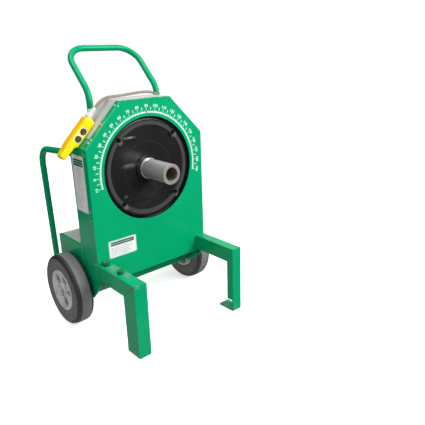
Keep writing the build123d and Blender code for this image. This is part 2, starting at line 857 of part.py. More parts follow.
with BuildPart() as right_leg:
    with BuildSketch(Plane.YZ.offset(right_x - right_wide)):
        Polygon(
            yz(0, right_top),
            yz(-right_reach, right_top),
            yz(-right_reach, right_foot_thick),
            yz(-right_reach + right_deep, right_foot_thick),
            yz(-right_reach + right_deep, right_top - arm_high),
            yz(0, right_top - arm_high),
            align=None,
        )
    extrude(amount=right_wide)
    fillet(right_leg.edges().filter_by(Axis.Y), radius=tube_round)
    with BuildSketch(Plane.YZ.offset(right_x - right_wide + channel_wall)):
        Polygon(
            yz(0, right_top - channel_wall),
            yz(-right_reach + channel_wall, right_top - channel_wall),
            yz(-right_reach + channel_wall, right_foot_thick),
            yz(-right_reach + right_deep, right_foot_thick),
            yz(-right_reach + right_deep, right_top - arm_high + channel_wall),
            yz(0, right_top - arm_high + channel_wall),
            align=None,
        )
    extrude(amount=right_wide - 2 * channel_wall, mode=Mode.SUBTRACT)
    with BuildSketch(Plane.YZ.offset(right_x - right_wide)):
        with Locations(yz(-right_reach + channel_wall, right_foot_thick)):
            Rectangle(right_deep, notch_high, align=(Align.MIN, Align.MIN))
    extrude(amount=channel_wall, mode=Mode.SUBTRACT)

with BuildPart() as right_foot:
    with BuildSketch(Plane.XY):
        with Locations((right_x - right_wide / 2, plate_y - right_reach + channel_wall)):
            Rectangle(
                right_wide + right_foot_lap,
                right_foot_long,
                align=(Align.CENTER, Align.MIN),
            )
        with Locations((right_x - right_wide / 2, plate_y - right_reach)):
            Rectangle(right_wide, 2 * channel_wall, align=(Align.CENTER, Align.MIN))
    extrude(amount=right_foot_thick)

with BuildPart() as roller_bosses:
    with BuildSketch(Plane.XY.offset(left_top)):
        with Locations(
            *[(-left_x + left_wide / 2, plate_y - boss_first - boss_pitch * k) for k in (0, 1)]
        ):
            Circle(boss_r)
            Circle(boss_hole_r, mode=Mode.SUBTRACT)
    extrude(amount=boss_high)

# ================================================================ wheels
with BuildPart() as axle:
    with BuildSketch(Plane.YZ.offset(-wheel_outer - cap_wall)):
        with Locations(yz(axle_depth, axle_z)):
            Circle(axle_r)
    extrude(amount=2 * (wheel_outer + cap_wall))

with BuildPart() as axle_retainers:
    for side in (-1, 1):
        with BuildSketch(Plane.YZ.offset(side * housing_half)):
            with Locations(yz(axle_depth, axle_z)):
                Circle(washer_r)
                Circle(axle_r + seat_gap, mode=Mode.SUBTRACT)
        extrude(amount=side * (wheel_inner - housing_half - end_gap))
        with BuildSketch(Plane.YZ.offset(side * (wheel_outer + end_gap))):
            with Locations(yz(axle_depth, axle_z)):
                Circle(cap_r)
        extrude(amount=side * 2 * cap_wall)
        with BuildSketch(Plane.YZ.offset(side * (wheel_outer + end_gap))):
            with Locations(yz(axle_depth, axle_z)):
                Circle(axle_r + seat_gap)
        extrude(amount=side * (cap_wall + seat_gap), mode=Mode.SUBTRACT)
    fillet(axle_retainers.edges().filter_by(GeomType.CIRCLE).group_by(Axis.X)[0], radius=cap_round)
    fillet(axle_retainers.edges().filter_by(GeomType.CIRCLE).group_by(Axis.X)[-1], radius=cap_round)

wheel_profile = (
    (wheel_inner, rim_r + seat_gap),
    (wheel_outer, rim_r + seat_gap),
    (wheel_outer, tyre_r - tyre_shoulder),
    (wheel_outer - tyre_shoulder, tyre_r),
    (wheel_inner + tyre_shoulder, tyre_r),
    (wheel_inner, tyre_r - tyre_shoulder),
)
wheel_axis = Axis((0, plate_y + axle_depth, axle_z), (1, 0, 0))
wheel_plane = Plane(
    origin=(0, plate_y + axle_depth, axle_z), x_dir=(1, 0, 0), z_dir=(0, -1, 0)
)

with BuildPart() as tyre_right:
    with BuildSketch(wheel_plane):
        Polygon(*wheel_profile, align=None)
    revolve(axis=wheel_axis)
    fillet(tyre_right.edges().filter_by(GeomType.CIRCLE).group_by(SortBy.RADIUS)[-1], radius=tyre_round)

with BuildPart() as tyre_left:
    with BuildSketch(wheel_plane):
        Polygon(*[(-x, r) for x, r in wheel_profile], align=None)
    revolve(axis=wheel_axis)
    fillet(tyre_left.edges().filter_by(GeomType.CIRCLE).group_by(SortBy.RADIUS)[-1], radius=tyre_round)

with BuildPart() as rim_right:
    with BuildSketch(Plane.YZ.offset(wheel_inner + rim_inset)):
        with Locations(yz(axle_depth, axle_z)):
            Circle(rim_r)
            Circle(rim_r - rim_wall, mode=Mode.SUBTRACT)
    extrude(amount=tyre_wide - 2 * rim_inset)
    with BuildSketch(Plane.YZ.offset(wheel_inner + (tyre_wide - spoke_thick) / 2)):
        with Locations(yz(axle_depth, axle_z)):
            with PolarLocations((rim_r - rim_wall + wheel_hub_r) / 2, spokes):
                Rectangle(rim_r - rim_wall - wheel_hub_r + 2 * spoke_root, spoke_wide)
    extrude(amount=spoke_thick)
    with BuildSketch(Plane.YZ.offset(wheel_inner)):
        with Locations(yz(axle_depth, axle_z)):
            Circle(wheel_hub_r)
    extrude(amount=tyre_wide)
    with BuildSketch(Plane.YZ.offset(wheel_inner)):
        with Locations(yz(axle_depth, axle_z)):
            Circle(axle_r + run_gap)
    extrude(amount=tyre_wide, mode=Mode.SUBTRACT)

with BuildPart() as rim_left:
    add(mirror(rim_right.part, about=Plane.YZ, mode=Mode.PRIVATE))

# ================================================================ handle and rear loops
with BuildPart() as handle:
    with BuildLine() as handle_line:
        FilletPolyline(
            (-handle_half, handle_y, handle_foot),
            (-handle_half, handle_y, handle_knee),
            (-handle_half, handle_y + handle_lean, handle_top),
            (handle_half, handle_y + handle_lean, handle_top),
            (handle_half, handle_y, handle_knee),
            (handle_half, handle_y, handle_foot),
            radius=[handle_knee_r, handle_corner_r, handle_corner_r, handle_knee_r],
        )
    with BuildSketch(Plane(origin=handle_line.line @ 0, z_dir=handle_line.line % 0)):
        Circle(handle_r)
        Circle(handle_r - handle_wall, mode=Mode.SUBTRACT)
    sweep()

with BuildPart() as handle_saddles:
    for x, z in saddle_spots:
        with BuildSketch(facing(housing_depth + saddle_thick)):
            with Locations((x, z)):
                Rectangle(2 * saddle_ear, saddle_high)
                with Locations((-ear_bolt, 0), (ear_bolt, 0)):
                    Circle(bolt_r + bolt_clear, mode=Mode.SUBTRACT)
        extrude(amount=saddle_thick)
        with BuildSketch(Plane.XY.offset(z - saddle_high / 2)):
            with Locations((x, handle_y)):
                Circle(handle_r + saddle_wall)
            with Locations((x, plate_y + housing_depth)):
                Rectangle(
                    2 * (handle_r + saddle_wall),
                    2 * (handle_r + saddle_wall),
                    align=(Align.CENTER, Align.MAX),
                    mode=Mode.SUBTRACT,
                )
        extrude(amount=saddle_high)
        with BuildSketch(Plane.XY.offset(z - saddle_high / 2)):
            with Locations((x, handle_y)):
                Circle(handle_r + seat_gap)
        extrude(amount=saddle_high, mode=Mode.SUBTRACT)

loop_points = (
    (housing_depth + loop_flange_thick, loop_start_z),
    (loop_reach - loop_r + loop_over, loop_corner_z),
    (loop_reach - loop_r - loop_lean, loop_low_z),
    (bar_depth + bar_size, loop_low_z),
)

with BuildPart() as rear_loop_left:
    with BuildLine() as left_loop_line:
        FilletPolyline(
            *[(-loop_x, plate_y + depth, z) for depth, z in loop_points],
            radius=[loop_upper_r, loop_lower_r],
        )
    with BuildSketch(Plane(origin=left_loop_line.line @ 0, z_dir=left_loop_line.line % 0)):
        Circle(loop_r)
        Circle(loop_r - loop_wall, mode=Mode.SUBTRACT)
    sweep()
    split(bisect_by=facing(housing_depth + loop_flange_thick), keep=Keep.BOTTOM)

with BuildPart() as rear_loop_right:
    add(mirror(rear_loop_left.part, about=Plane.YZ, mode=Mode.PRIVATE))

with BuildPart() as loop_flanges:
    with BuildSketch(facing(housing_depth + loop_flange_thick)):
        with Locations((-loop_x, loop_start_z), (loop_x, loop_start_z)):
            RectangleRounded(loop_flange_wide, loop_flange_high, loop_flange_round)
        with Locations(*loop_bolt_spots):
            Circle(bolt_r + bolt_clear, mode=Mode.SUBTRACT)
    extrude(amount=loop_flange_thick)

with BuildPart() as frame_bolts:
    with Locations(*[backing(housing_depth + saddle_thick, x, z) for x, z in saddle_bolt_spots]):
        Cylinder(
            bolt_r,
            saddle_thick + sheet + frame_bolt_tail,
            align=(Align.CENTER, Align.CENTER, Align.MAX),
        )
    with Locations(*[backing(housing_depth + loop_flange_thick, x, z) for x, z in loop_bolt_spots]):
        Cylinder(
            bolt_r,
            loop_flange_thick + 2 * sheet + frame_bolt_tail,
            align=(Align.CENTER, Align.CENTER, Align.MAX),
        )
    for depth, spots in (
        (housing_depth + saddle_thick, saddle_bolt_spots),
        (housing_depth + loop_flange_thick, loop_bolt_spots),
    ):
        with BuildSketch(facing(depth)):
            with Locations(*spots):
                RegularPolygon(frame_bolt_head_r, 6)
        extrude(amount=-bolt_head)

# ================================================================ electrical pieces
with BuildPart() as control_box:
    with Locations((control_x, plate_y + control_depth, pan_z + sheet)):
        Box(*control_size, align=(Align.CENTER, Align.CENTER, Align.MIN))
    with Locations((control_x, plate_y + control_depth, pan_z + sheet + control_wall)):
        Box(
            control_size[0] - 2 * control_wall,
            control_size[1] - 2 * control_wall,
            control_size[2],
            align=(Align.CENTER, Align.CENTER, Align.MIN),
            mode=Mode.SUBTRACT,
        )

with BuildPart() as contactors:
    with Locations(
        *[
            (control_x + side * contactor_pitch / 2, plate_y + control_depth, pan_z + sheet + control_wall)
            for side in (-1, 1)
        ]
    ):
        Box(*contactor_size, align=(Align.CENTER, Align.CENTER, Align.MIN))

with BuildPart() as power_switch:
    with BuildSketch(facing(base_depth - sheet)):
        with Locations((switch_x, switch_z)):
            Rectangle(switch_body, switch_body)
    extrude(amount=switch_body_deep)
    with BuildSketch(facing(base_depth + switch_proud)):
        with Locations((switch_x, switch_z)):
            Circle(switch_bush_r)
    extrude(amount=sheet + switch_proud)
    with BuildSketch(facing(base_depth + switch_proud)):
        with Locations((switch_x, switch_z)):
            Circle(switch_bore_r)
    extrude(amount=switch_proud + sheet + switch_bore_deep, mode=Mode.SUBTRACT)

toggle_pivot = (switch_x, plate_y + base_depth + switch_proud / 2, switch_z)
toggle_way = (0, cos(radians(toggle_tilt)), -sin(radians(toggle_tilt)))

with BuildPart() as power_toggle:
    with Locations(toggle_pivot):
        Sphere(toggle_ball_r)
        Cylinder(toggle_pin_r, 2 * (switch_bore_r - bolt_clear), rotation=(0, 90, 0))
    with BuildSketch(Plane(origin=toggle_pivot, z_dir=toggle_way)):
        Circle(toggle_r)
    extrude(amount=toggle_long, taper=toggle_taper)
    fillet(power_toggle.edges().filter_by(GeomType.CIRCLE).sort_by(Axis.Y)[-1], radius=toggle_round)

with BuildPart() as power_inlet:
    with BuildSketch(facing(base_depth)):
        with Locations((inlet_x, inlet_z)):
            Circle(inlet_r)
    extrude(amount=inlet_deep)
    with BuildSketch(facing(base_depth + inlet_flange)):
        with Locations((inlet_x, inlet_z)):
            Circle(inlet_flange_r)
    extrude(amount=inlet_flange)
    with BuildSketch(facing(base_depth + inlet_flange)):
        with Locations((inlet_x, inlet_z)):
            Circle(inlet_bore_r)
            with PolarLocations(inlet_pin_circle, 3, start_angle=90):
                Circle(inlet_pin_r, mode=Mode.SUBTRACT)
    extrude(amount=inlet_deep, mode=Mode.SUBTRACT)

with BuildPart() as cord_gland:
    with BuildSketch(Plane.XY.offset(base_top)):
        with Locations((gland_x, plate_y + gland_depth)):
            RegularPolygon(gland_r, 6)
    extrude(amount=gland_nut)
    with BuildSketch(Plane.XY.offset(base_top + gland_nut)):
        with Locations((gland_x, plate_y + gland_depth)):
            Circle(gland_r - gland_step)
    with BuildSketch(Plane.XY.offset(base_top + gland_high)):
        with Locations((gland_x, plate_y + gland_depth)):
            Circle(cord_r + gland_lip)
    loft()

# ================================================================ pendant
with BuildPart() as pendant_body:
    with BuildSketch(pendant_axis):
        with Locations((pendant_low, 0)):
            RectangleRounded(pendant_long, pendant_thick, pendant_round, align=(Align.MIN, Align.MIN))
    extrude(amount=-pendant_deep)
    fillet(
        pendant_body.faces().sort_by(Axis.Y)[0].edges() + pendant_body.faces().sort_by(Axis.Y)[-1].edges(),
        radius=pendant_edge,
    )
    with BuildSketch(pendant_axis):
        with Locations((button_low + button_pitch / 2, pendant_thick / 2)):
            SlotOverall(button_pitch + bezel_wide, bezel_wide)
    extrude(amount=-bezel_deep, mode=Mode.SUBTRACT)
    with BuildSketch(pendant_axis):
        with Locations(
            (button_low, pendant_thick / 2),
            (button_low + button_pitch, pendant_thick / 2),
        ):
            Circle(button_r + button_gap)
    extrude(amount=-(button_long - button_proud + button_travel + button_room), mode=Mode.SUBTRACT)

with BuildPart() as button_reverse:
    with BuildSketch(pendant_axis.offset(button_proud)):
        with Locations((button_low, pendant_thick / 2)):
            Circle(button_r)
    extrude(amount=-button_long)
    fillet(button_reverse.edges().group_by(Axis.Y)[0], radius=button_round)

with BuildPart() as button_forward:
    with BuildSketch(pendant_axis.offset(button_proud)):
        with Locations((button_low + button_pitch, pendant_thick / 2)):
            Circle(button_r)
    extrude(amount=-button_long)
    fillet(button_forward.edges().group_by(Axis.Y)[0], radius=button_round)

boot_start = pendant_axis.from_local_coords(
    Vector(pendant_low + pendant_long, boot_rise, -pendant_deep / 2)
)
boot_end = pendant_axis.from_local_coords(
    Vector(pendant_low + pendant_long + boot_long, boot_rise, -pendant_deep / 2)
)

with BuildPart() as pendant_boot:
    with BuildSketch(Plane(origin=boot_start, z_dir=(slope_x, 0, slope_z))):
        Circle(boot_big_r)
    with BuildSketch(Plane(origin=boot_end, z_dir=(slope_x, 0, slope_z))):
        Circle(boot_small_r)
    loft()

# ================================================================ pendant cord
# From the boot over the housing's top, round the right upright and back to the hook.
coil_z = hook_z + hook_r + end_gap - (coil_turn_r - coil_bundle_r)


def on_coil(angle):
    """Point in the middle of the coil's bundle at an angle."""
    turn = radians(angle)
    return (coil_x + coil_turn_r * cos(turn), back_y + coil_behind, coil_z + coil_turn_r * sin(turn))


cord_points = [
    (boot_end.X, boot_end.Y, boot_end.Z),
    (boot_end.X + cord_lead * slope_x, boot_end.Y, boot_end.Z + cord_lead * slope_z),
    (-118.0, back_y - 44.0, 887.0),
    (-80.0, back_y - 35.0, 886.5),
    (-34.0, back_y - 27.0, 887.5),
    (14.0, back_y - 21.0, 890.5),
    (60.0, back_y - 17.0, 892.5),
    (101.0, back_y - 14.5, 890.0),
    (136.0, back_y - 14.0, 874.0),
    (167.0, back_y - 12.0, 847.0),
    (194.0, back_y - 1.0, 815.0),
    (205.0, back_y + 25.0, 778.0),
    (199.0, back_y + 47.0, 742.0),
    (172.0, back_y + 56.5, 713.0),
    (145.0, back_y + 50.5, 691.0),
    (116.0, back_y + 38.0, 676.0),
    (83.0, back_y + 25.5, 669.5),
    on_coil(coil_entry),
]
cord_radii = easy_radii(cord_points)
print("cord_upper bend radii", [round(r, 1) for r in cord_radii])

with BuildPart() as cord_upper:
    with BuildLine() as upper_line:
        FilletPolyline(*cord_points, radius=cord_radii)
    with BuildSketch(Plane(origin=upper_line.line @ 0, z_dir=upper_line.line % 0)):
        Circle(cord_r)
    sweep()

with BuildPart() as cord_coil:
    with BuildSketch(Plane.XY.offset(coil_z)):
        with Locations((coil_x + coil_turn_r, back_y + coil_behind)):
            Circle(coil_bundle_r)
    revolve(axis=Axis((coil_x, back_y + coil_behind, coil_z), (0, 1, 0)))

lower_points = [
    on_coil(coil_exit),
    (31.0, back_y + 21.5, 557.0),
    (53.0, back_y + 25.5, 523.0),
    (76.0, back_y + 31.0, 483.0),
    (96.0, back_y + 37.0, 441.0),
    (gland_x, plate_y + gland_depth, 400.0),
    (gland_x, plate_y + gland_depth, base_top + gland_high),
]
lower_radii = easy_radii(lower_points)
print("cord_lower bend radii", [round(r, 1) for r in lower_radii])

with BuildPart() as cord_lower:
    with BuildLine() as lower_line:
        FilletPolyline(*lower_points, radius=lower_radii)
    with BuildSketch(Plane(origin=lower_line.line @ 0, z_dir=lower_line.line % 0)):
        Circle(cord_r)
    sweep()

for name, tube, line in (
    ("cord_upper", cord_upper, upper_line),
    ("cord_lower", cord_lower, lower_line),
):
    length = line.wires()[0].length
    filled = tube.part.volume / (pi * cord_r**2 * length)
    print(name, "length", round(length, 1), "volume over section times length", round(filled, 5))

with BuildPart() as cord_hook:
    with BuildLine() as hook_line:
        FilletPolyline(
            (coil_x, plate_y + housing_depth, hook_z),
            (coil_x, plate_y + housing_depth + hook_reach, hook_z),
            (coil_x, plate_y + housing_depth + hook_reach + hook_lean, hook_z + hook_tip),
            radius=hook_bend,
        )
    with BuildSketch(Plane(origin=hook_line.line @ 0, z_dir=hook_line.line % 0)):
        Circle(hook_r)
    sweep()

nodes = {
    "front_plate": front_plate,
    "housing_shell": housing_shell,
    "rear_panel": rear_panel,
    "front_web": front_web,
    "rear_web": rear_web,
    "web_spacers": web_spacers,
    "main_bushings": main_bushings,
    "lay_bushings": lay_bushings,
    "cover_screws": cover_screws,
    "rear_screws": rear_screws,
    "spindle": spindle,
    "spindle_collar": spindle_collar,
    "drive_plate": drive_plate,
    "drive_hub": drive_hub,
    "drive_hub_bolts": drive_hub_bolts,
    "bull_gear": bull_gear,
    "spindle_keys": spindle_keys,
    "spindle_nut": spindle_nut,
    "layshaft": layshaft,
    "lay_gear": lay_gear,
    "motor_shaft": motor_shaft,
    "reducer": reducer,
    "motor": motor,
    "side_plate_left": side_plate_left,
    "side_plate_right": side_plate_right,
    "cross_member": cross_member,
    "rear_pan": rear_pan,
    "rear_cover": rear_cover,
    "rear_bar": rear_bar,
    "arm_blocks": arm_blocks,
    "left_leg": left_leg,
    "right_leg": right_leg,
    "right_foot": right_foot,
    "roller_bosses": roller_bosses,
    "axle": axle,
    "axle_retainers": axle_retainers,
    "tyre_left": tyre_left,
    "tyre_right": tyre_right,
    "rim_left": rim_left,
    "rim_right": rim_right,
    "handle": handle,
    "handle_saddles": handle_saddles,
    "rear_loop_left": rear_loop_left,
    "rear_loop_right": rear_loop_right,
    "loop_flanges": loop_flanges,
    "frame_bolts": frame_bolts,
    "control_box": control_box,
    "contactors": contactors,
    "power_switch": power_switch,
    "power_toggle": power_toggle,
    "power_inlet": power_inlet,
    "cord_gland": cord_gland,
    "pendant_body": pendant_body,
    "button_reverse": button_reverse,
    "button_forward": button_forward,
    "pendant_boot": pendant_boot,
    "cord_upper": cord_upper,
    "cord_coil": cord_coil,
    "cord_lower": cord_lower,
    "cord_hook": cord_hook,
}

for name, piece in nodes.items():
    piece.part.label = name
    export_step(piece.part, f"parts/{name}.step")
    print(name, len(piece.part.solids()), round(piece.part.volume))
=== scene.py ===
"""Looks of a wheeled electric conduit bender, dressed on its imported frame.

Everything is in metres in the frame's own axes: +Z up, -Y towards the operator, +X to
the right of someone facing the front plate. The origin is on the floor.
"""

import logging
from dataclasses import dataclass
from enum import Enum
from math import cos, hypot, pi, radians, sin

import bpy
import numpy as np
from mathutils import Matrix, Vector


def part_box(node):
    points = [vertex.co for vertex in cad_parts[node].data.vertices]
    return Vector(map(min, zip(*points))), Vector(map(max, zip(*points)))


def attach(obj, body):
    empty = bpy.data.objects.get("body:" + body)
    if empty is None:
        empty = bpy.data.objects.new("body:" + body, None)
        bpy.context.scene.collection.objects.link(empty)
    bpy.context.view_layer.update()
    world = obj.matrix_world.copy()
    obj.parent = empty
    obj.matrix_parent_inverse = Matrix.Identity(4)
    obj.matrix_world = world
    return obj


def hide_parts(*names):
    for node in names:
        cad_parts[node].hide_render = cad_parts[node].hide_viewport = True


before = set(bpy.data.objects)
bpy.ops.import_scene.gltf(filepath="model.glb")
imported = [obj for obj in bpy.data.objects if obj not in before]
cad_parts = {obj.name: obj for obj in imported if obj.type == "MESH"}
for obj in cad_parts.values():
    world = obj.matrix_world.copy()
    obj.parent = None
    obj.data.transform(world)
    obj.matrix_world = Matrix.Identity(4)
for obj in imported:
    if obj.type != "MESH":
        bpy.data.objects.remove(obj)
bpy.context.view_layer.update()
log = logging.getLogger("bender")

Colour = tuple[float, float, float]
Point = tuple[float, float, float]
Shape = tuple[np.ndarray, list]
Socket = bpy.types.NodeSocket
Finish = bpy.types.Material


# --------------------------------------------------------------------------- meshes
def grid_faces(rows: int, cols: int, close_rows: bool, close_cols: bool) -> np.ndarray:
    """Quads that join a grid of points numbered row by row.

    Args:
        rows: Number of rows.
        cols: Number of columns.
        close_rows: Join the last row to the first.
        close_cols: Join the last column to the first.

    Returns:
        An array of four point numbers for each quad.
    """
    r = np.arange(rows if close_rows else rows - 1)
    c = np.arange(cols if close_cols else cols - 1)
    rr, cc = np.meshgrid(r, c, indexing="ij")
    r2, c2 = (rr + 1) % rows, (cc + 1) % cols
    quads = np.stack([rr * cols + cc, r2 * cols + cc, r2 * cols + c2, rr * cols + c2], -1)
    return quads.reshape(-1, 4)


def new_piece(
    name: str,
    points: np.ndarray,
    faces: list | np.ndarray,
    finish: Finish,
    body: str,
    smooth: bool = True,
) -> bpy.types.Object:
    """Makes a mesh object in place and lets it ride on a body.

    Args:
        name: Name of the piece.
        points: Corner positions, one row each.
        faces: Corner numbers of each face, counter-clockwise from outside.
        finish: Its material.
        body: The CAD body it moves with.
        smooth: Shade the faces smoothly, with sharp corners over 35 degrees.

    Returns:
        The new object.
    """
    mesh = bpy.data.meshes.new(name)
    face_list = faces.tolist() if isinstance(faces, np.ndarray) else faces
    mesh.from_pydata(np.asarray(points, float).tolist(), [], face_list)
    mesh.validate()
    mesh.materials.append(finish)
    if smooth:
        mesh.polygons.foreach_set("use_smooth", np.ones(len(mesh.polygons), bool))
        mesh.set_sharp_from_angle(angle=radians(35))
    piece = bpy.data.objects.new(name, mesh)
    bpy.context.scene.collection.objects.link(piece)
    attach(piece, body)
    return piece


def cabinet_piece(name: str, shape: Shape, finish: Finish) -> bpy.types.Object:
    """Makes a crisp-edged piece that is fixed to the cabinet's painted steel."""
    points, faces = shape
    return new_piece(name, points, faces, finish, "frame", False)


def turned(profile: np.ndarray, turns: int, centre: Point, axis: int) -> tuple[np.ndarray, np.ndarray]:
    """Surface of revolution: each profile point (along, radius) goes round the axis.

    Args:
        profile: Closed outline as rows of distance along the axis and radius.
        turns: Number of steps round.
        centre: A point of the axis.
        axis: 0 for an axis along X, 1 for Y, 2 for Z.

    Returns:
        Points and faces.
    """
    a = np.linspace(0, 2 * pi, turns, endpoint=False)[:, None]
    along = np.broadcast_to(profile[None, :, 0], (turns, len(profile)))
    first, second = profile[None, :, 1] * np.cos(a), profile[None, :, 1] * np.sin(a)
    order = {0: (along, first, second), 1: (second, along, first), 2: (first, second, along)}
    points = np.stack(order[axis], -1) + np.array(centre)
    return points.reshape(-1, 3), grid_faces(turns, len(profile), True, True)


def slab(outline: np.ndarray, origin: Point, across: Point, up: Point, low: float, high: float) -> Shape:
    """Closed plate: an outline on a plane, carried from one height to another.

    Args:
        outline: Corners as rows of distance across and up, counter-clockwise.
        origin: Zero of the plane.
        across: Unit vector of the first distance.
        up: Unit vector of the second distance.
        low: Height of the back, along across x up.
        high: Height of the face.

    Returns:
        Points and faces.
    """
    a, u = np.array(across, float), np.array(up, float)
    n = np.cross(a, u)
    flat = np.array(origin, float) + outline[:, :1] * a + outline[:, 1:2] * u
    count = len(outline)
    points = np.vstack([flat + low * n, flat + high * n])
    ring = np.arange(count)
    sides = np.stack([ring, (ring + 1) % count, (ring + 1) % count + count, ring + count], -1)
    return points, [list(ring[::-1]), list(ring + count)] + sides.tolist()


def rounded_box(width: float, height: float, radius: float, steps: int = 5) -> np.ndarray:
    """Outline of a rectangle about its middle, its corners quarter circles."""
    turn = np.linspace(0, pi / 2, steps)
    corners = []
    for quarter, (sx, sy) in enumerate(((1, 1), (-1, 1), (-1, -1), (1, -1))):
        a = turn + quarter * pi / 2
        middle = np.array([sx * (width / 2 - radius), sy * (height / 2 - radius)])
        corners.append(middle + radius * np.stack([np.cos(a), np.sin(a)], -1))
    return np.vstack(corners)


def disc(radius: float, steps: int) -> np.ndarray:
    """Outline of a circle about its middle."""
    turn = np.linspace(0, 2 * pi, steps, endpoint=False)
    return radius * np.stack([np.cos(turn), np.sin(turn)], -1)


def eased(share: np.ndarray) -> np.ndarray:
    """A smooth step: 0 below nought, 1 above one, level at both ends."""
    held = np.clip(share, 0, 1)
    return held**2 * (3 - 2 * held)


def joined(parts: list[Shape]) -> Shape:
    """Puts several meshes into one list of points and one of faces."""
    points, faces, start = [], [], 0
    for p, f in parts:
        f = f.tolist() if isinstance(f, np.ndarray) else f
        faces += [[i + start for i in face] for face in f]
        points.append(p)
        start += len(p)
    return np.vstack(points), faces


# --------------------------------------------------------------------------- finishes
class Recipe:
    """A material's node tree, with a short way to add and link nodes."""

    def __init__(self, name: str) -> None:
        """Starts an empty material of that name with one Principled shader."""
        self.material = bpy.data.materials.new(name)
        self.material.use_nodes = True
        self.nodes = self.material.node_tree.nodes
        self.links = self.material.node_tree.links
        self.shader = self.nodes["Principled BSDF"]
        self.where = self.nodes.new("ShaderNodeTexCoord").outputs["Object"]

    def set(self, **values: float | tuple) -> None:
        """Sets the shader's own sockets, with underscores for spaces in their names."""
        for key, value in values.items():
            self.shader.inputs[key.replace("_", " ")].default_value = value

    def noise(self, scale: float, detail: float = 3.0, stretch: Point = (1, 1, 1)) -> Socket:
        """Noise on object coordinates, in cycles a metre, stretched along each axis."""
        mapping = self.nodes.new("ShaderNodeMapping")
        mapping.inputs["Scale"].default_value = stretch
        self.links.new(self.where, mapping.inputs["Vector"])
        node = self.nodes.new("ShaderNodeTexNoise")
        node.inputs["Scale"].default_value = scale
        node.inputs["Detail"].default_value = detail
        self.links.new(mapping.outputs[0], node.inputs["Vector"])
        return node.outputs["Fac"]

    def vector(self, operation: str, first: Socket, second: Point | None = None) -> bpy.types.Node:
        """Vector arithmetic with a constant."""
        node = self.nodes.new("ShaderNodeVectorMath")
        node.operation = operation
        self.links.new(first, node.inputs[0])
        if second is not None:
            node.inputs[1].default_value = second
        return node

    def spread(self, centre: Point, weights: Point = (1, 1, 1)) -> Socket:
        """Length of (place - centre), each axis first multiplied by its own weight."""
        away = self.vector("SUBTRACT", self.where, centre).outputs[0]
        weighed = self.vector("MULTIPLY", away, weights).outputs[0]
        return self.vector("LENGTH", weighed).outputs["Value"]

    def along(self, origin: Point, direction: Point) -> Socket:
        """Distance from an origin along a unit direction: their dot product."""
        away = self.vector("SUBTRACT", self.where, origin).outputs[0]
        return self.vector("DOT_PRODUCT", away, direction).outputs["Value"]

    def near(self, spot: Point, reach: float, weights: Point = (1, 1, 1)) -> Socket:
        """One at a spot, falling to nothing at a distance from it."""
        return self.ramp(self.spread(spot, weights), 0.0, reach, 1.0, 0.0)

    def belt(self, value: Socket, low: float, high: float, edge: float) -> Socket:
        """One between two values, falling to nothing within an edge outside them."""
        rise = self.ramp(value, low - edge, low, 0.0, 1.0)
        fall = self.ramp(value, high, high + edge, 1.0, 0.0)
        return self.sums("MULTIPLY", rise, fall)

    def ramp(self, value: Socket, low: float, high: float, at_low: float, at_high: float) -> Socket:
        """A straight ramp between two values, held flat outside them."""
        node = self.nodes.new("ShaderNodeMapRange")
        for key, number in zip(("From Min", "From Max", "To Min", "To Max"), (low, high, at_low, at_high)):
            node.inputs[key].default_value = number
        self.links.new(value, node.inputs["Value"])
        return node.outputs["Result"]

    def sums(self, operation: str, first: Socket, second: Socket | float) -> Socket:
        """Arithmetic on two values."""
        node = self.nodes.new("ShaderNodeMath")
        node.operation = operation
        self.links.new(first, node.inputs[0])
        if isinstance(second, (int, float)):
            node.inputs[1].default_value = second
        else:
            self.links.new(second, node.inputs[1])
        return node.outputs[0]

    def blend(self, share: Socket, first: Colour | Socket, second: Colour | Socket) -> Socket:
        """Colour that goes from the first to the second as the share goes from 0 to 1."""
        node = self.nodes.new("ShaderNodeMix")
        node.data_type = "RGBA"
        self.links.new(share, node.inputs[0])
        for socket, value in ((node.inputs[6], first), (node.inputs[7], second)):
            if isinstance(value, tuple):
                socket.default_value = (*value, 1.0)
            else:
                self.links.new(value, socket)
        return node.outputs[2]

    def colour(self, value: Socket) -> None:
        """Feeds the shader's base colour."""
        self.links.new(value, self.shader.inputs["Base Color"])

    def rough(self, value: Socket) -> None:
        """Feeds the shader's roughness."""
        self.links.new(value, self.shader.inputs["Roughness"])

    def bump(self, height: Socket, depth: float, strength: float = 1.0) -> None:
        """Raises the surface by a height of that depth in metres."""
        node = self.nodes.new("ShaderNodeBump")
        node.inputs["Strength"].default_value = strength
        node.inputs["Distance"].default_value = depth
        self.links.new(height, node.inputs["Height"])
        self.links.new(node.outputs[0], self.shader.inputs["Normal"])


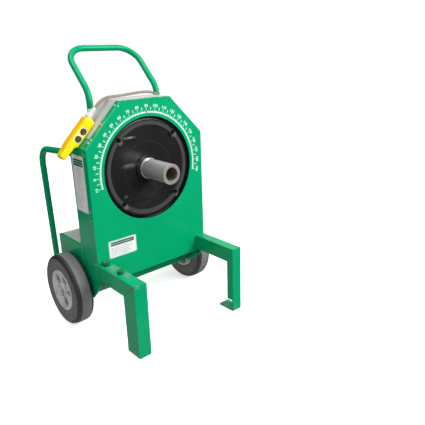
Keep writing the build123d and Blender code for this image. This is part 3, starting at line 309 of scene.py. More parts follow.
@dataclass(frozen=True)
class Paint:
    """Gloss enamel on sheet steel, faintly uneven, with spots where asked: rubbed paint, painted highlights
    and painted reflections.
    """

    name: str
    colour: Colour
    gloss: float = 0.24
    coat: float = 0.06
    peel: float = 0.000003
    shine: float = 0.16
    rubbed: tuple[tuple[Point, float], ...] = ()
    rubbed_colour: Colour = (0.24, 0.25, 0.20)
    patch_scale: float = 7.0
    dust_scale: float = 70.0
    dust_share: float = 0.10
    worn_scale: float = 140.0
    worn_share: float = 0.5

    def make(self) -> Finish:
        """Builds the material."""
        r = Recipe(self.name)
        deep = tuple(c * 0.95 for c in self.colour)
        light = tuple(min(1.0, c * 1.03) for c in self.colour)
        tone = r.blend(r.ramp(r.noise(self.patch_scale, 3.0), 0.35, 0.65, 0, 1), deep, light)
        dust = r.ramp(r.noise(self.dust_scale, 6.0), 0.66, 0.80, 0, self.dust_share)
        tone = r.blend(dust, tone, tuple(0.6 * c + 0.05 for c in self.colour))
        roughness = r.ramp(r.noise(18.0, 3.0), 0.3, 0.7, self.gloss * 0.9, self.gloss * 1.15)
        # The spots hold rubbed paint on the arms, painted highlights on the roller bosses' tops and a painted
        # reflection of the floor on the cross member.
        for spot, reach in self.rubbed:
            spot_share = r.sums("MULTIPLY", r.near(spot, reach), 2.2)
            ragged = r.ramp(r.noise(self.worn_scale, 6.0), 0.2, 0.8, -0.9, 0.5)
            spot_share = r.ramp(r.sums("ADD", spot_share, ragged), 0.45, 1.0, 0.0, self.worn_share)
            tone = r.blend(spot_share, tone, self.rubbed_colour)
            roughness = r.sums("MAXIMUM", roughness, r.sums("MULTIPLY", spot_share, 0.55))
        r.rough(roughness)
        r.colour(tone)
        r.set(Coat_Weight=self.coat, Coat_Roughness=0.08, Specular_IOR_Level=self.shine)
        r.bump(r.noise(300.0, 2.0), self.peel)
        return r.material


@dataclass(frozen=True)
class PlateEnamel:
    """Black enamel of the drive plate: dark dish with painted reflections, a pin ring painted lighter as a
    highlight, dark rounded rim, scuffs.
    """

    name: str
    centre: Point
    dish: Colour = (0.010, 0.010, 0.010)
    ring: Colour = (0.060, 0.062, 0.060)
    rim: Colour = (0.009, 0.008, 0.008)
    scuff: Colour = (0.30, 0.30, 0.29)
    ring_inner: float = 0.1662
    ring_outer: float = 0.1795
    pin_circle: float = 0.1726
    pin_scuff: float = 0.0145
    line_r: float = 0.104
    line_wide: float = 0.001
    soft: float = 0.004

    def make(self) -> Finish:
        """Builds the material from the distance to the spindle's axis."""
        r = Recipe(self.name)
        radius = r.spread(self.centre, (1, 0, 1))
        cloud = r.ramp(r.noise(14.0, 4.0), 0.35, 0.7, 0.0, 0.35)
        tone = r.blend(cloud, self.dish, tuple(c * 1.9 for c in self.dish))
        # Painted highlight: the sloped pin ring is coloured a lighter grey all round.
        tone = r.blend(r.belt(radius, self.ring_inner, self.ring_outer, self.soft), tone, self.ring)
        past_ring = r.ramp(radius, self.ring_outer, self.ring_outer + self.soft, 0.0, 1.0)
        tone = r.blend(past_ring, tone, self.rim)
        line = r.belt(radius, self.line_r, self.line_r + self.line_wide, self.soft / 2)
        faint_line = r.sums("MULTIPLY", line, 0.3)
        tone = r.blend(faint_line, tone, self.ring)
        x, y, z = self.centre
        corner = self.pin_circle / 2**0.5
        # Each patch: spot, reach, weights of the axes, share and shade. The first two are painted
        # reflections, the rest scuffs.
        patches = [
            ((x - 0.03, y, z - 0.10), 0.11, (1, 0, 1), 0.30, self.ring),
            ((x - 0.078, y, z + 0.022), 0.046, (1, 0, 4.0), 0.75, (0.16, 0.165, 0.17)),
            ((x - corner + 0.046, y, z + corner + 0.004), 0.036, (1, 0, 7.0), 0.9, self.scuff),
        ]
        for sx, sz in ((-1, 1), (1, 1), (-1, -1), (1, -1)):
            spot = (x + sx * corner + 0.008, y, z + sz * corner - 0.010)
            patches.append((spot, self.pin_scuff, (1, 0, 1), 0.55, self.scuff))
        patches.append(((x - corner + 0.014, y, z - corner + 0.028), 0.011, (1, 0, 1.4), 0.5, self.scuff))
        patch_breakup = r.ramp(r.noise(60.0, 5.0), 0.35, 0.60, 0.35, 1.0)
        for spot, reach, weights, share, shade in patches:
            mark = r.sums("MULTIPLY", r.ramp(r.spread(spot, weights), reach * 0.25, reach, share, 0.0), patch_breakup)
            tone = r.blend(mark, tone, shade)
        r.colour(tone)
        r.set(Specular_IOR_Level=0.35)
        r.rough(r.ramp(r.noise(12.0, 2.0), 0.3, 0.7, 0.28, 0.38))
        r.bump(r.noise(700.0, 3.0), 0.00001, 0.5)
        return r.material


@dataclass(frozen=True)
class RimCasting:
    """Light grey cast wheel face, with painted shade: dark where its windows sink towards the middle."""

    name: str
    middle: Point
    face: Colour = (0.78, 0.78, 0.785)
    deep: Colour = (0.07, 0.072, 0.08)
    low: float = 0.010
    high: float = 0.020

    def make(self) -> Finish:
        """Builds the material from the distance to the wheel's middle plane."""
        r = Recipe(self.name)
        dull = tuple(c * 0.75 for c in self.face)
        tone = r.blend(r.ramp(r.noise(30.0, 5.0), 0.35, 0.65, 0.0, 1.0), dull, self.face)
        # Painted shade: the sunk windows darken towards the wheel's middle plane.
        sunk = r.ramp(r.spread(self.middle, (1, 0, 0)), self.low, self.high, 0.95, 0.0)
        tone = r.blend(sunk, tone, self.deep)
        r.colour(tone)
        r.rough(r.ramp(r.noise(60.0, 4.0), 0.3, 0.7, 0.35, 0.6))
        r.set(Metallic=0.15)
        r.bump(r.noise(500.0, 3.0), 0.0002, 0.6)
        return r.material


@dataclass(frozen=True)
class ShellPlastic:
    """Yellow moulding with painted shade on its outer side, a darker and warmer yellow, and a pale recess
    round the buttons.
    """

    name: str
    origin: Point
    along: Point
    out: Point
    slot: tuple[float, float, float, float]
    dots: tuple[tuple[float, float], ...]
    face: Colour = (1.0, 0.84, 0.008)
    # Outer side's colour: painted shade.
    side: Colour = (1.0, 0.60, 0.003)
    recess: Colour = (1.0, 0.93, 0.42)
    dot: Colour = (0.45, 0.26, 0.004)
    dirt: Colour = (0.5, 0.33, 0.05)

    def make(self) -> Finish:
        """Builds the material in the moulding's own two distances, along and out."""
        r = Recipe(self.name)
        u, v = r.along(self.origin, self.along), r.along(self.origin, self.out)
        low, high, middle, reach = self.slot
        dull = tuple(c * 0.93 for c in self.face)
        tone = r.blend(r.ramp(r.noise(22.0, 4.0), 0.35, 0.65, 0.0, 1.0), dull, self.face)
        # Painted shade: the outer side turns a darker, more orange yellow.
        tone = r.blend(r.ramp(v, 0.0365, 0.0405, 0.0, 1.0), tone, self.side)
        held = r.ramp(u, low, high, low, high)
        du, dv = r.sums("SUBTRACT", u, held), r.sums("SUBTRACT", v, middle)
        gap = r.sums("SQRT", r.sums("ADD", r.sums("MULTIPLY", du, du), r.sums("MULTIPLY", dv, dv)), 0.0)
        front = r.ramp(r.along(self.origin, (0.0, 1.0, 0.0)), 0.002, 0.004, 1.0, 0.0)
        pale = r.sums("MULTIPLY", r.ramp(gap, reach - 0.001, reach + 0.0006, 0.75, 0.0), front)
        tone = r.blend(pale, tone, self.recess)
        for du0, dv0 in self.dots:
            spot = tuple(o + du0 * a + dv0 * b for o, a, b in zip(self.origin, self.along, self.out))
            tone = r.blend(r.ramp(r.spread(spot), 0.0012, 0.0026, 0.7, 0.0), tone, self.dot)
        tone = r.blend(r.ramp(r.noise(90.0, 7.0), 0.6, 0.8, 0.0, 0.15), tone, self.dirt)
        r.colour(tone)
        r.set(Specular_IOR_Level=0.25)
        r.rough(r.ramp(r.noise(45.0, 5.0), 0.3, 0.7, 0.28, 0.42))
        r.bump(r.noise(800.0, 3.0), 0.00002, 0.6)
        return r.material


@dataclass(frozen=True)
class Metal:
    """Bare or plated steel with tool marks, a little rust and a darker bore where asked."""

    name: str
    colour: Colour
    gloss: float = 0.3
    stretch: Point = (1, 30, 1)
    rust_at: Point | None = None
    rust_reach: float = 0.05
    rust: Colour = (0.36, 0.20, 0.13)
    bare: float = 0.6
    tool_marks: float = 0.00001
    mottle: float = 0.16
    mark_scale: float = 30.0
    rust_scale: float = 130.0
    rust_share: float = 0.62
    bore: tuple[Point, float] | None = None
    bore_colour: Colour = (0.46, 0.40, 0.31)

    def make(self) -> Finish:
        """Builds the material."""
        r = Recipe(self.name)
        dull = tuple(c * (1 - self.mottle) for c in self.colour)
        tone = r.blend(r.ramp(r.noise(self.mark_scale, 6.0, self.stretch), 0.3, 0.7, 0, 1), dull, self.colour)
        low, high = self.gloss * (1 - self.mottle), self.gloss * (1 + self.mottle)
        roughness = r.ramp(r.noise(25.0, 5.0, self.stretch), 0.3, 0.7, low, high)
        if self.rust_at is not None:
            ragged = r.ramp(r.noise(self.rust_scale, 6.0), 0.3, 0.7, -0.5, 0.3)
            share = r.sums("ADD", r.near(self.rust_at, self.rust_reach), ragged)
            share = r.ramp(share, 0.1, 0.6, 0.0, self.rust_share)
            tone = r.blend(share, tone, self.rust)
            roughness = r.sums("MAXIMUM", roughness, r.sums("MULTIPLY", share, 0.6))
        if self.bore is not None:
            centre, reach = self.bore
            inside = r.ramp(r.spread(centre, (1, 0, 1)), reach, reach + 0.0008, 1.0, 0.0)
            tone = r.blend(inside, tone, self.bore_colour)
        r.colour(tone)
        r.rough(roughness)
        r.set(Metallic=self.bare)
        r.bump(r.noise(80.0, 4.0, self.stretch), self.tool_marks)
        return r.material


@dataclass(frozen=True)
class Moulded:
    """Plastic or rubber with a fine moulded grain and grime in patches."""

    name: str
    colour: Colour
    gloss: float = 0.4
    grain: float = 0.00008
    grime: Colour = (0.25, 0.22, 0.17)
    grime_share: float = 0.18
    scale: float = 700.0
    patch_scale: float = 18.0
    grime_scale: float = 70.0

    def make(self) -> Finish:
        """Builds the material."""
        r = Recipe(self.name)
        deep = tuple(c * 0.88 for c in self.colour)
        tone = r.blend(r.ramp(r.noise(self.patch_scale, 4.0), 0.35, 0.65, 0, 1), deep, self.colour)
        dirty = r.ramp(r.noise(self.grime_scale, 7.0), 0.55, 0.78, 0.0, self.grime_share)
        tone = r.blend(dirty, tone, self.grime)
        r.colour(tone)
        r.rough(r.ramp(r.noise(45.0, 5.0), 0.3, 0.7, self.gloss * 0.8, min(1.0, self.gloss * 1.3)))
        r.bump(r.noise(self.scale, 3.0), self.grain, 0.6)
        return r.material


# Enamel colours: open faces, and a darker green of painted shade for the bar and bosses that stand in shade.
GREEN: Colour = (0.0003, 0.375, 0.155)
SHADED_GREEN: Colour = (0.0003, 0.19, 0.08)

# Places on the cabinet, from the frame's boxes and the slopes at its shoulders.
SPINDLE_Z = (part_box("spindle")[0].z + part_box("spindle")[1].z) / 2
FACE_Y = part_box("front_plate")[0].y
SIDE_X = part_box("front_plate")[1].x
SHELL_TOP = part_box("front_plate")[1].z
SHOULDER_Z = 0.7255
TOP_HALF = 0.110
SLOPE_RUN = hypot(SIDE_X - TOP_HALF, SHELL_TOP - SHOULDER_Z)
SLOPE = ((SIDE_X - TOP_HALF) / SLOPE_RUN, 0.0, (SHELL_TOP - SHOULDER_Z) / SLOPE_RUN)
SLOPE_OUT = (-SLOPE[2], 0.0, SLOPE[0])
PENDANT_FOOT = (-SIDE_X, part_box("pendant_body")[0].y, SHOULDER_Z)
ARM_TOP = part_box("left_leg")[1].z
BOSS_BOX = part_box("roller_bosses")
BOSS_X = (BOSS_BOX[0].x + BOSS_BOX[1].x) / 2

# Radius of the handle's tube and the size of the left leg's tube and arm.
HANDLE_R = 0.0117
LEG_DEEP = 0.0744
ARM_HIGH = 0.0628

# Buttons, along and out from the pendant's foot.
BUTTON_LOW = 0.0243
BUTTON_HIGH = 0.0568
BUTTON_OUT = 0.021


def paint_shop() -> dict[str, Finish]:
    """Makes every finish once.

    Returns:
        The materials by a short name.
    """
    low_y, high_y = BOSS_BOX[0].y, BOSS_BOX[1].y
    ring = 0.013
    rubs = (
        ((BOSS_X + 0.004, high_y - 0.036, ARM_TOP), 0.026),
        ((BOSS_X + 0.008, low_y - 0.010, ARM_TOP), 0.026),
        ((BOSS_X - 0.010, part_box("left_leg")[0].y, ARM_TOP - 0.004), 0.014),
    )
    # Painted highlight: the lit top face of each roller boss turns light grey, over the darker green of
    # painted shade.
    boss_top_highlights = tuple(((BOSS_X, y, BOSS_BOX[1].z), ring) for y in (high_y - ring, low_y + ring))
    # Painted reflection: the pale floor seen in the left end of the cross member, a brownish grey patch on
    # its darker green of painted shade.
    bar_floor_reflection = (((-0.20, FACE_Y, 0.22), 0.12),)
    recipes = {
        "green": Paint("green_enamel", GREEN),
        "arm_green": Paint("green_enamel_arm", GREEN, rubbed=rubs),
        "boss_green_painted_light": Paint(
            "green_enamel_boss_painted_light", SHADED_GREEN, rubbed=boss_top_highlights, rubbed_colour=(0.24, 0.24, 0.20)
        ),
        "bar_green_painted_light": Paint(
            "green_enamel_bar_painted_light", SHADED_GREEN, rubbed=bar_floor_reflection, rubbed_colour=(0.16, 0.13, 0.08)
        ),
        "plate": PlateEnamel("plate_enamel", (0.0, FACE_Y, SPINDLE_Z)),
        "spindle": Metal(
            "ground_spindle",
            (0.94, 0.92, 0.91),
            0.24,
            (1, 1, 1),
            rust_at=(0.0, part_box("spindle")[0].y, SPINDLE_Z),
            rust_reach=0.047,
            rust=(0.62, 0.44, 0.38),
            bare=0.7,
            tool_marks=0.0000005,
            mottle=0.06,
            bore=((0.0, FACE_Y, SPINDLE_Z), 0.0256),
        ),
        "gear": Metal("oiled_gear_steel", (0.30, 0.30, 0.31), 0.32),
        "zinc": Metal("zinc_plate", (0.60, 0.61, 0.60), 0.3, (1, 1, 1)),
        "bronze": Metal("oiled_bronze", (0.55, 0.36, 0.14), 0.35),
        "web": Paint("grey_primer", (0.10, 0.11, 0.11), 0.5, 0.0),
        "motor": Paint("grey_enamel", (0.13, 0.14, 0.145), 0.35, 0.1),
        "wall": Moulded("tyre_wall_rubber", (0.17, 0.17, 0.171), 0.6, 0.0001, (0.2, 0.19, 0.18), 0.3, 500.0),
        "shoulder": Moulded(
            "tyre_shoulder_rubber", (0.040, 0.041, 0.044), 0.5, 0.00006, (0.09, 0.09, 0.09), 0.2, 500.0
        ),
        "tread": Moulded("tread_rubber", (0.24, 0.24, 0.25), 0.7, 0.0001, (0.26, 0.22, 0.2), 0.3, 400.0),
        "yellow": ShellPlastic(
            "yellow_shell",
            PENDANT_FOOT,
            SLOPE,
            SLOPE_OUT,
            (BUTTON_LOW, BUTTON_HIGH, BUTTON_OUT, 0.0163),
            ((0.099, 0.021), (0.081, 0.0345), (0.088, 0.0065), (-0.018, 0.031), (-0.050, 0.027)),
        ),
        "dark": Moulded("dark_moulding", (0.060, 0.045, 0.038), 0.5),
        "boot": Moulded("grey_boot", (0.66, 0.66, 0.64), 0.5),
        "cord": Moulded("tan_jacket", (0.29, 0.225, 0.172), 0.5, 0.00005, (0.25, 0.24, 0.13), 0.5),
        "tie": Moulded("hook_tape", (0.03, 0.03, 0.032), 0.8, 0.0002, (0.10, 0.10, 0.10), 0.3, 900.0),
        "print": Moulded("white_print", (0.66, 0.97, 0.84), 0.45, 0.00001, (0.25, 0.60, 0.42), 0.12),
        "label": Moulded("label_film", (0.93, 0.94, 0.94), 0.35, 0.00001, (0.75, 0.76, 0.74), 0.3),
        "decal": Moulded("decal_film", (0.62, 0.61, 0.61), 0.35, 0.00001, (0.62, 0.64, 0.60), 0.3),
        "label_border": Moulded("label_border", (0.35, 0.72, 0.55), 0.4, 0.00001, (0.25, 0.50, 0.40), 0.2),
        "faint_ink": Moulded("faint_ink", (0.55, 0.56, 0.56), 0.5, 0.00001),
        "label_ink": Moulded("label_ink", (0.24, 0.27, 0.26), 0.5, 0.00001),
        "label_dark": Moulded("label_header", (0.02, 0.15, 0.09), 0.4, 0.00001),
        # Pale green of painted edge highlights.
        "pale_green": Moulded("painted_edge_highlight_green", (0.16, 0.62, 0.40), 0.4, 0.00001, (0.10, 0.45, 0.28), 0.2),
        # Painted reflection of the yellow pendant.
        "pendant_reflection_green": Moulded("painted_pendant_reflection", (0.20, 0.46, 0.13), 0.45, 0.00001, (0.05, 0.38, 0.16), 0.5),
        "seam": Moulded("weld_seam", (0.0003, 0.13, 0.05), 0.4, 0.00001, (0.0003, 0.20, 0.08), 0.3),
        "red": Moulded("red_print", (0.30, 0.05, 0.05), 0.5, 0.00001),
    }
    return {key: recipe.make() for key, recipe in recipes.items()}


# --------------------------------------------------------------------------- the stand
@dataclass
class Studio:
    """Camera, pale floor and soft lights."""

    eye: Point = (-1.0177, -1.6012, 1.0435)
    yaw: float = 41.65
    pitch: float = -18.87
    roll: float = -1.40
    lens: float = 40.51
    sensor: float = 36.0
    floor_half: float = 7.0
    floor_glow: float = 0.62
    dome_r: float = 9.0
    card_place: Point = (-0.35, 0.35, 0.95)
    card_glow: float = 0.5
    sky: float = 0.42
    key_power: float = 166.0
    top_power: float = 60.0
    back_power: float = 9.0

    def camera(self) -> None:
        """Stands the camera where the eye is, turned by yaw, then pitch, then roll."""
        y, p, t = radians(self.yaw), radians(self.pitch), radians(self.roll)
        ahead = Vector((sin(y) * cos(p), cos(y) * cos(p), sin(p)))
        right = Vector((cos(y), -sin(y), 0.0))
        up = right.cross(ahead)
        right, up = right * cos(t) + up * sin(t), up * cos(t) - right * sin(t)
        data = bpy.data.cameras.new("camera")
        data.lens, data.sensor_width = self.lens, self.sensor
        camera = bpy.data.objects.new("camera", data)
        turn = Matrix((right, up, -ahead)).transposed().to_4x4()
        camera.matrix_world = Matrix.Translation(self.eye) @ turn
        bpy.context.scene.collection.objects.link(camera)
        bpy.context.scene.camera = camera

    def staged(self, name: str, points: np.ndarray, faces: list, finish: Finish) -> bpy.types.Object:
        """Adds a mesh of the studio's own, hidden from soft and glossy reflections."""
        mesh = bpy.data.meshes.new(name)
        mesh.from_pydata(points.tolist(), [], faces)
        mesh.materials.append(finish)
        thing = bpy.data.objects.new(name, mesh)
        bpy.context.scene.collection.objects.link(thing)
        thing.visible_diffuse = False
        thing.visible_glossy = False
        return thing

    def floor(self) -> None:
        """Lays a plain pale floor that shows soft shadows."""
        recipe = Recipe("pale_floor")
        recipe.set(
            Base_Color=(0.93, 0.93, 0.93, 1.0), Roughness=0.8, Specular_IOR_Level=0.0,
            Emission_Color=(1.0, 1.0, 1.0, 1.0), Emission_Strength=self.floor_glow,
        )
        corners = np.array([(-1, -1, 0), (1, -1, 0), (1, 1, 0), (-1, 1, 0)], float) * self.floor_half
        self.staged("floor", corners + np.array([0.0, 0.0, -0.001]), [(0, 1, 2, 3)], recipe.material)

    def glowing(self, name: str, strength: float) -> Finish:
        """A plain white light-giving finish."""
        material = bpy.data.materials.new(name)
        material.use_nodes = True
        nodes = material.node_tree.nodes
        nodes.remove(nodes["Principled BSDF"])
        glow = nodes.new("ShaderNodeEmission")
        glow.inputs["Strength"].default_value = strength
        material.node_tree.links.new(glow.outputs[0], nodes["Material Output"].inputs["Surface"])
        return material

    def backdrop(self) -> None:
        """Stands a white dome round the scene, a sphere cut level with the floor's edge."""
        rows, cols = 24, 48
        up = np.linspace(-0.35, pi / 2 - 0.01, rows)[:, None]
        turn = np.linspace(0, 2 * pi, cols, endpoint=False)[None]
        sphere = np.stack([np.cos(up) * np.cos(turn), np.cos(up) * np.sin(turn), np.sin(up) + 0 * turn], -1)
        faces = grid_faces(rows, cols, False, True).tolist()
        white = self.glowing("white_backdrop", 1.0)
        dome = self.staged("backdrop", sphere.reshape(-1, 3) * self.dome_r, faces, white)
        dome.visible_shadow = False
        dome.visible_transmission = False

    def card(self) -> None:
        """Lays a round white reflector just over the floor, which only gloss can see."""
        x, y, radius = self.card_place
        steps, height = 48, -0.0005
        round_edge = disc(radius, steps) + np.array([x, y])
        points = np.column_stack([round_edge, np.full(steps, height)])
        white = self.glowing("reflector_white", self.card_glow)
        card = self.staged("reflector", points, [list(range(steps))], white)
        card.visible_camera = False
        card.visible_shadow = False
        card.visible_glossy = True

    def light(self, name: str, spot: Point, aim: Point, size: float, power: float) -> None:
        """Hangs a square soft light that looks at a point."""
        data = bpy.data.lights.new(name, "AREA")
        data.size, data.energy = size, power
        lamp = bpy.data.objects.new(name, data)
        lamp.location = spot
        lamp.rotation_euler = (Vector(aim) - Vector(spot)).to_track_quat("-Z", "Y").to_euler()
        bpy.context.scene.collection.objects.link(lamp)
        lamp.visible_camera = False

    def make(self) -> None:
        """Sets the whole stand up."""
        self.camera()
        self.floor()
        self.backdrop()
        self.card()
        world = bpy.data.worlds.new("studio")
        world.use_nodes = True
        world.node_tree.nodes["Background"].inputs[0].default_value = (1.0, 1.0, 1.0, 1.0)
        world.node_tree.nodes["Background"].inputs[1].default_value = self.sky
        world.cycles_visibility.glossy = False
        bpy.context.scene.world = world
        bpy.context.scene.view_settings.view_transform = "Standard"
        self.light("key", (1.6, -3.2, 2.6), (0.0, 0.0, 0.55), 2.2, self.key_power)
        self.light("top", (-0.5, -0.2, 3.6), (0.0, 0.0, 0.4), 2.6, self.top_power)
        self.light("back", (1.9, 2.1, 1.9), (0.0, 0.0, 0.6), 1.6, self.back_power)


# --------------------------------------------------------------------------- cabinet
@dataclass
class DegreeScale:
    """White bend scale printed round the opening of the front plate."""

    finishes: dict[str, Finish]
    inner: float = 0.2103
    outer: float = 0.2158
    first: float = -11.0
    last: float = 191.0
    rise: float = 0.0004
    number_r: float = 0.2362
    five_r: float = 0.2272
    number_high: float = 0.0112
    five_high: float = 0.0082
    stroke: float = 0.0017
    steps: int = 140
    mark_step: float = 2.5
    long_mark: float = 0.0140
    middle_mark: float = 0.0070
    short_mark: float = 0.0050

    def spot(self, angle: float, r: float) -> tuple[float, float]:
        """Place on the plate of an angle counted from the left over the top."""
        return -r * cos(radians(angle)), SPINDLE_Z + r * sin(radians(angle))

    def band(self) -> Shape:
        """The arc: a flat bar swept through the scale's angles about the spindle."""
        a = np.radians(np.linspace(self.first, self.last, self.steps))[:, None]
        r = np.array([self.inner, self.outer, self.outer, self.inner])[None]
        y = np.array([0.0, 0.0, -self.rise, -self.rise])[None] + FACE_Y
        deep = np.broadcast_to(y, (self.steps, 4))
        points = np.stack([-r * np.cos(a), deep, SPINDLE_Z + r * np.sin(a)], -1).reshape(-1, 3)
        faces = grid_faces(self.steps, 4, False, True).tolist()
        return points, faces + [[3, 2, 1, 0], list(range(len(points) - 4, len(points)))]

    def tick(self, angle: float, long: float, wide: float) -> Shape:
        """One mark outside the arc."""
        turn = radians(angle)
        out, side = np.array([-cos(turn), sin(turn)]), np.array([sin(turn), cos(turn)])
        shape = rounded_box(long, wide, wide * 0.2, 2)
        middle = self.outer + long / 2 - 0.001
        flat = out * (middle + shape[:, :1]) + side * shape[:, 1:]
        return slab(flat, (0, FACE_Y, SPINDLE_Z), (1, 0, 0), (0, 0, 1), 0.0, self.rise)

    def figure(self, text: str, angle: float, high: float, place_r: float) -> Shape:
        """A number as a mesh, its foot towards the spindle."""
        data = bpy.data.curves.new("figure", "FONT")
        data.body, data.size = text, high * 1.36
        data.align_x, data.align_y = "CENTER", "CENTER"
        data.extrude, data.offset = self.rise / 2, high * 0.045
        data.resolution_u = 3
        holder = bpy.data.objects.new("figure", data)
        bpy.context.scene.collection.objects.link(holder)
        graph = bpy.context.evaluated_depsgraph_get()
        mesh = bpy.data.meshes.new_from_object(holder.evaluated_get(graph))
        local = np.empty(len(mesh.vertices) * 3)
        mesh.vertices.foreach_get("co", local)
        local = local.reshape(-1, 3)
        faces = [list(p.vertices) for p in mesh.polygons]
        bpy.data.objects.remove(holder)
        bpy.data.meshes.remove(mesh)
        turn = radians(angle - 90)
        x = local[:, 0] * cos(turn) + local[:, 1] * sin(turn)
        z = local[:, 1] * cos(turn) - local[:, 0] * sin(turn)
        cx, cz = self.spot(angle, place_r)
        return np.stack([cx + x, FACE_Y - self.rise / 2 - local[:, 2], cz + z], -1), faces

    def make(self) -> None:
        """Prints the arc, its marks and its numbers on the front plate."""
        parts = [self.band()]
        for k in range(-4, 77):
            long = self.long_mark if k % 4 == 0 else self.middle_mark if k % 2 == 0 else self.short_mark
            parts.append(self.tick(self.mark_step * k, long, self.stroke))
        cabinet_piece("scale_arc", joined(parts), self.finishes["print"])
        tens, fives = range(-10, 200, 10), range(-5, 195, 10)
        numbers = [self.figure(str(abs(at)), at, self.number_high, self.number_r) for at in tens]
        numbers += [self.figure("5", at, self.five_high, self.five_r) for at in fives]
        cabinet_piece("scale_numbers", joined(numbers), self.finishes["print"])
        mark = rounded_box(0.0035, 0.011, 0.0015, 3) + np.array([0.0, (self.inner + self.outer) / 2])
        shape = slab(mark, (0, FACE_Y, SPINDLE_Z), (1, 0, 0), (0, 0, 1), 0.0, 2 * self.rise)
        cabinet_piece("scale_zero_mark", shape, self.finishes["red"])
        log.info("degree scale: %d numbers", len(numbers))


class Ink(Enum):
    """Inks of a printed label."""

    LINE = "label_ink"
    BLOCK = "label_dark"
    FAINT = "faint_ink"


@dataclass
class Label:
    """A thin printed film with rows of unreadable dashes in place of words."""

    name: str
    origin: Point
    across: Point
    up: Point
    size: tuple[float, float]
    rows: int
    seed: int
    header: float = 0.0
    columns: int = 1
    margin: float = 0.06
    fill: float = 0.42
    radius: float = 0.003
    film: float = 0.0003
    paper: str = "label"
    ink: Ink = Ink.LINE
    border: float = 0.0
    stripes: int = 1

    def bar(self, x: float, y: float, wide: float, high: float) -> Shape:
        """One printed bar, its place and size as shares of the label."""
        long, tall = wide * self.size[0], high * self.size[1]
        shape = rounded_box(long, tall, min(long, tall) * 0.2, 2)
        shape = shape + np.array([(x - 0.5) * self.size[0], (y - 0.5) * self.size[1]])
        return slab(shape, self.origin, self.across, self.up, self.film, self.film * 1.5)

    def dashes(self) -> list[Shape]:
        """Rows of dashes of uneven length, like words seen from far off."""
        chance = np.random.default_rng(self.seed)
        bars = []
        top = 1.0 - self.margin - self.header * 1.25
        pitch = (top - self.margin) / self.rows
        wide = (1.0 - 2 * self.margin) / self.columns
        for column in range(self.columns):
            for row in range(self.rows):
                x, y = self.margin + column * wide, top - (row + 0.5) * pitch
                end = self.margin + (column + 0.92) * wide - wide * 0.35 * chance.random()
                while x < end:
                    long = min(wide * (0.05 + 0.10 * chance.random()), end - x)
                    if long > 0.02 * wide:
                        bars.append(self.bar(x + long / 2, y, long, pitch * self.fill))
                    x += long + 0.035 * wide
        return bars

    def film_shape(self, wider: float, high: float) -> Shape:
        """The film's outline, widened on every side, from the steel up to a height."""
        shape = rounded_box(*(side + 2 * wider for side in self.size), self.radius + wider)
        return slab(shape, self.origin, self.across, self.up, 0.0, high)

    def make(self, finishes: dict[str, Finish]) -> None:
        """Sticks the film on, with its border under it, then prints it."""
        if self.border:
            border = self.film_shape(self.border, self.film * 0.6)
            cabinet_piece(f"{self.name}_border", border, finishes["label_border"])
        cabinet_piece(self.name, self.film_shape(0.0, self.film), finishes[self.paper])
        cabinet_piece(f"{self.name}_lines", joined(self.dashes()), finishes[self.ink.value])
        if self.header:
            pitch = self.header / self.stripes
            tops = [1 - self.margin - pitch * (k + 0.4) for k in range(self.stripes)]
            bars = [self.bar(0.5, top, 1 - 2 * self.margin, pitch * 0.8) for top in tops]
            cabinet_piece(f"{self.name}_header", joined(bars), finishes[Ink.BLOCK.value])


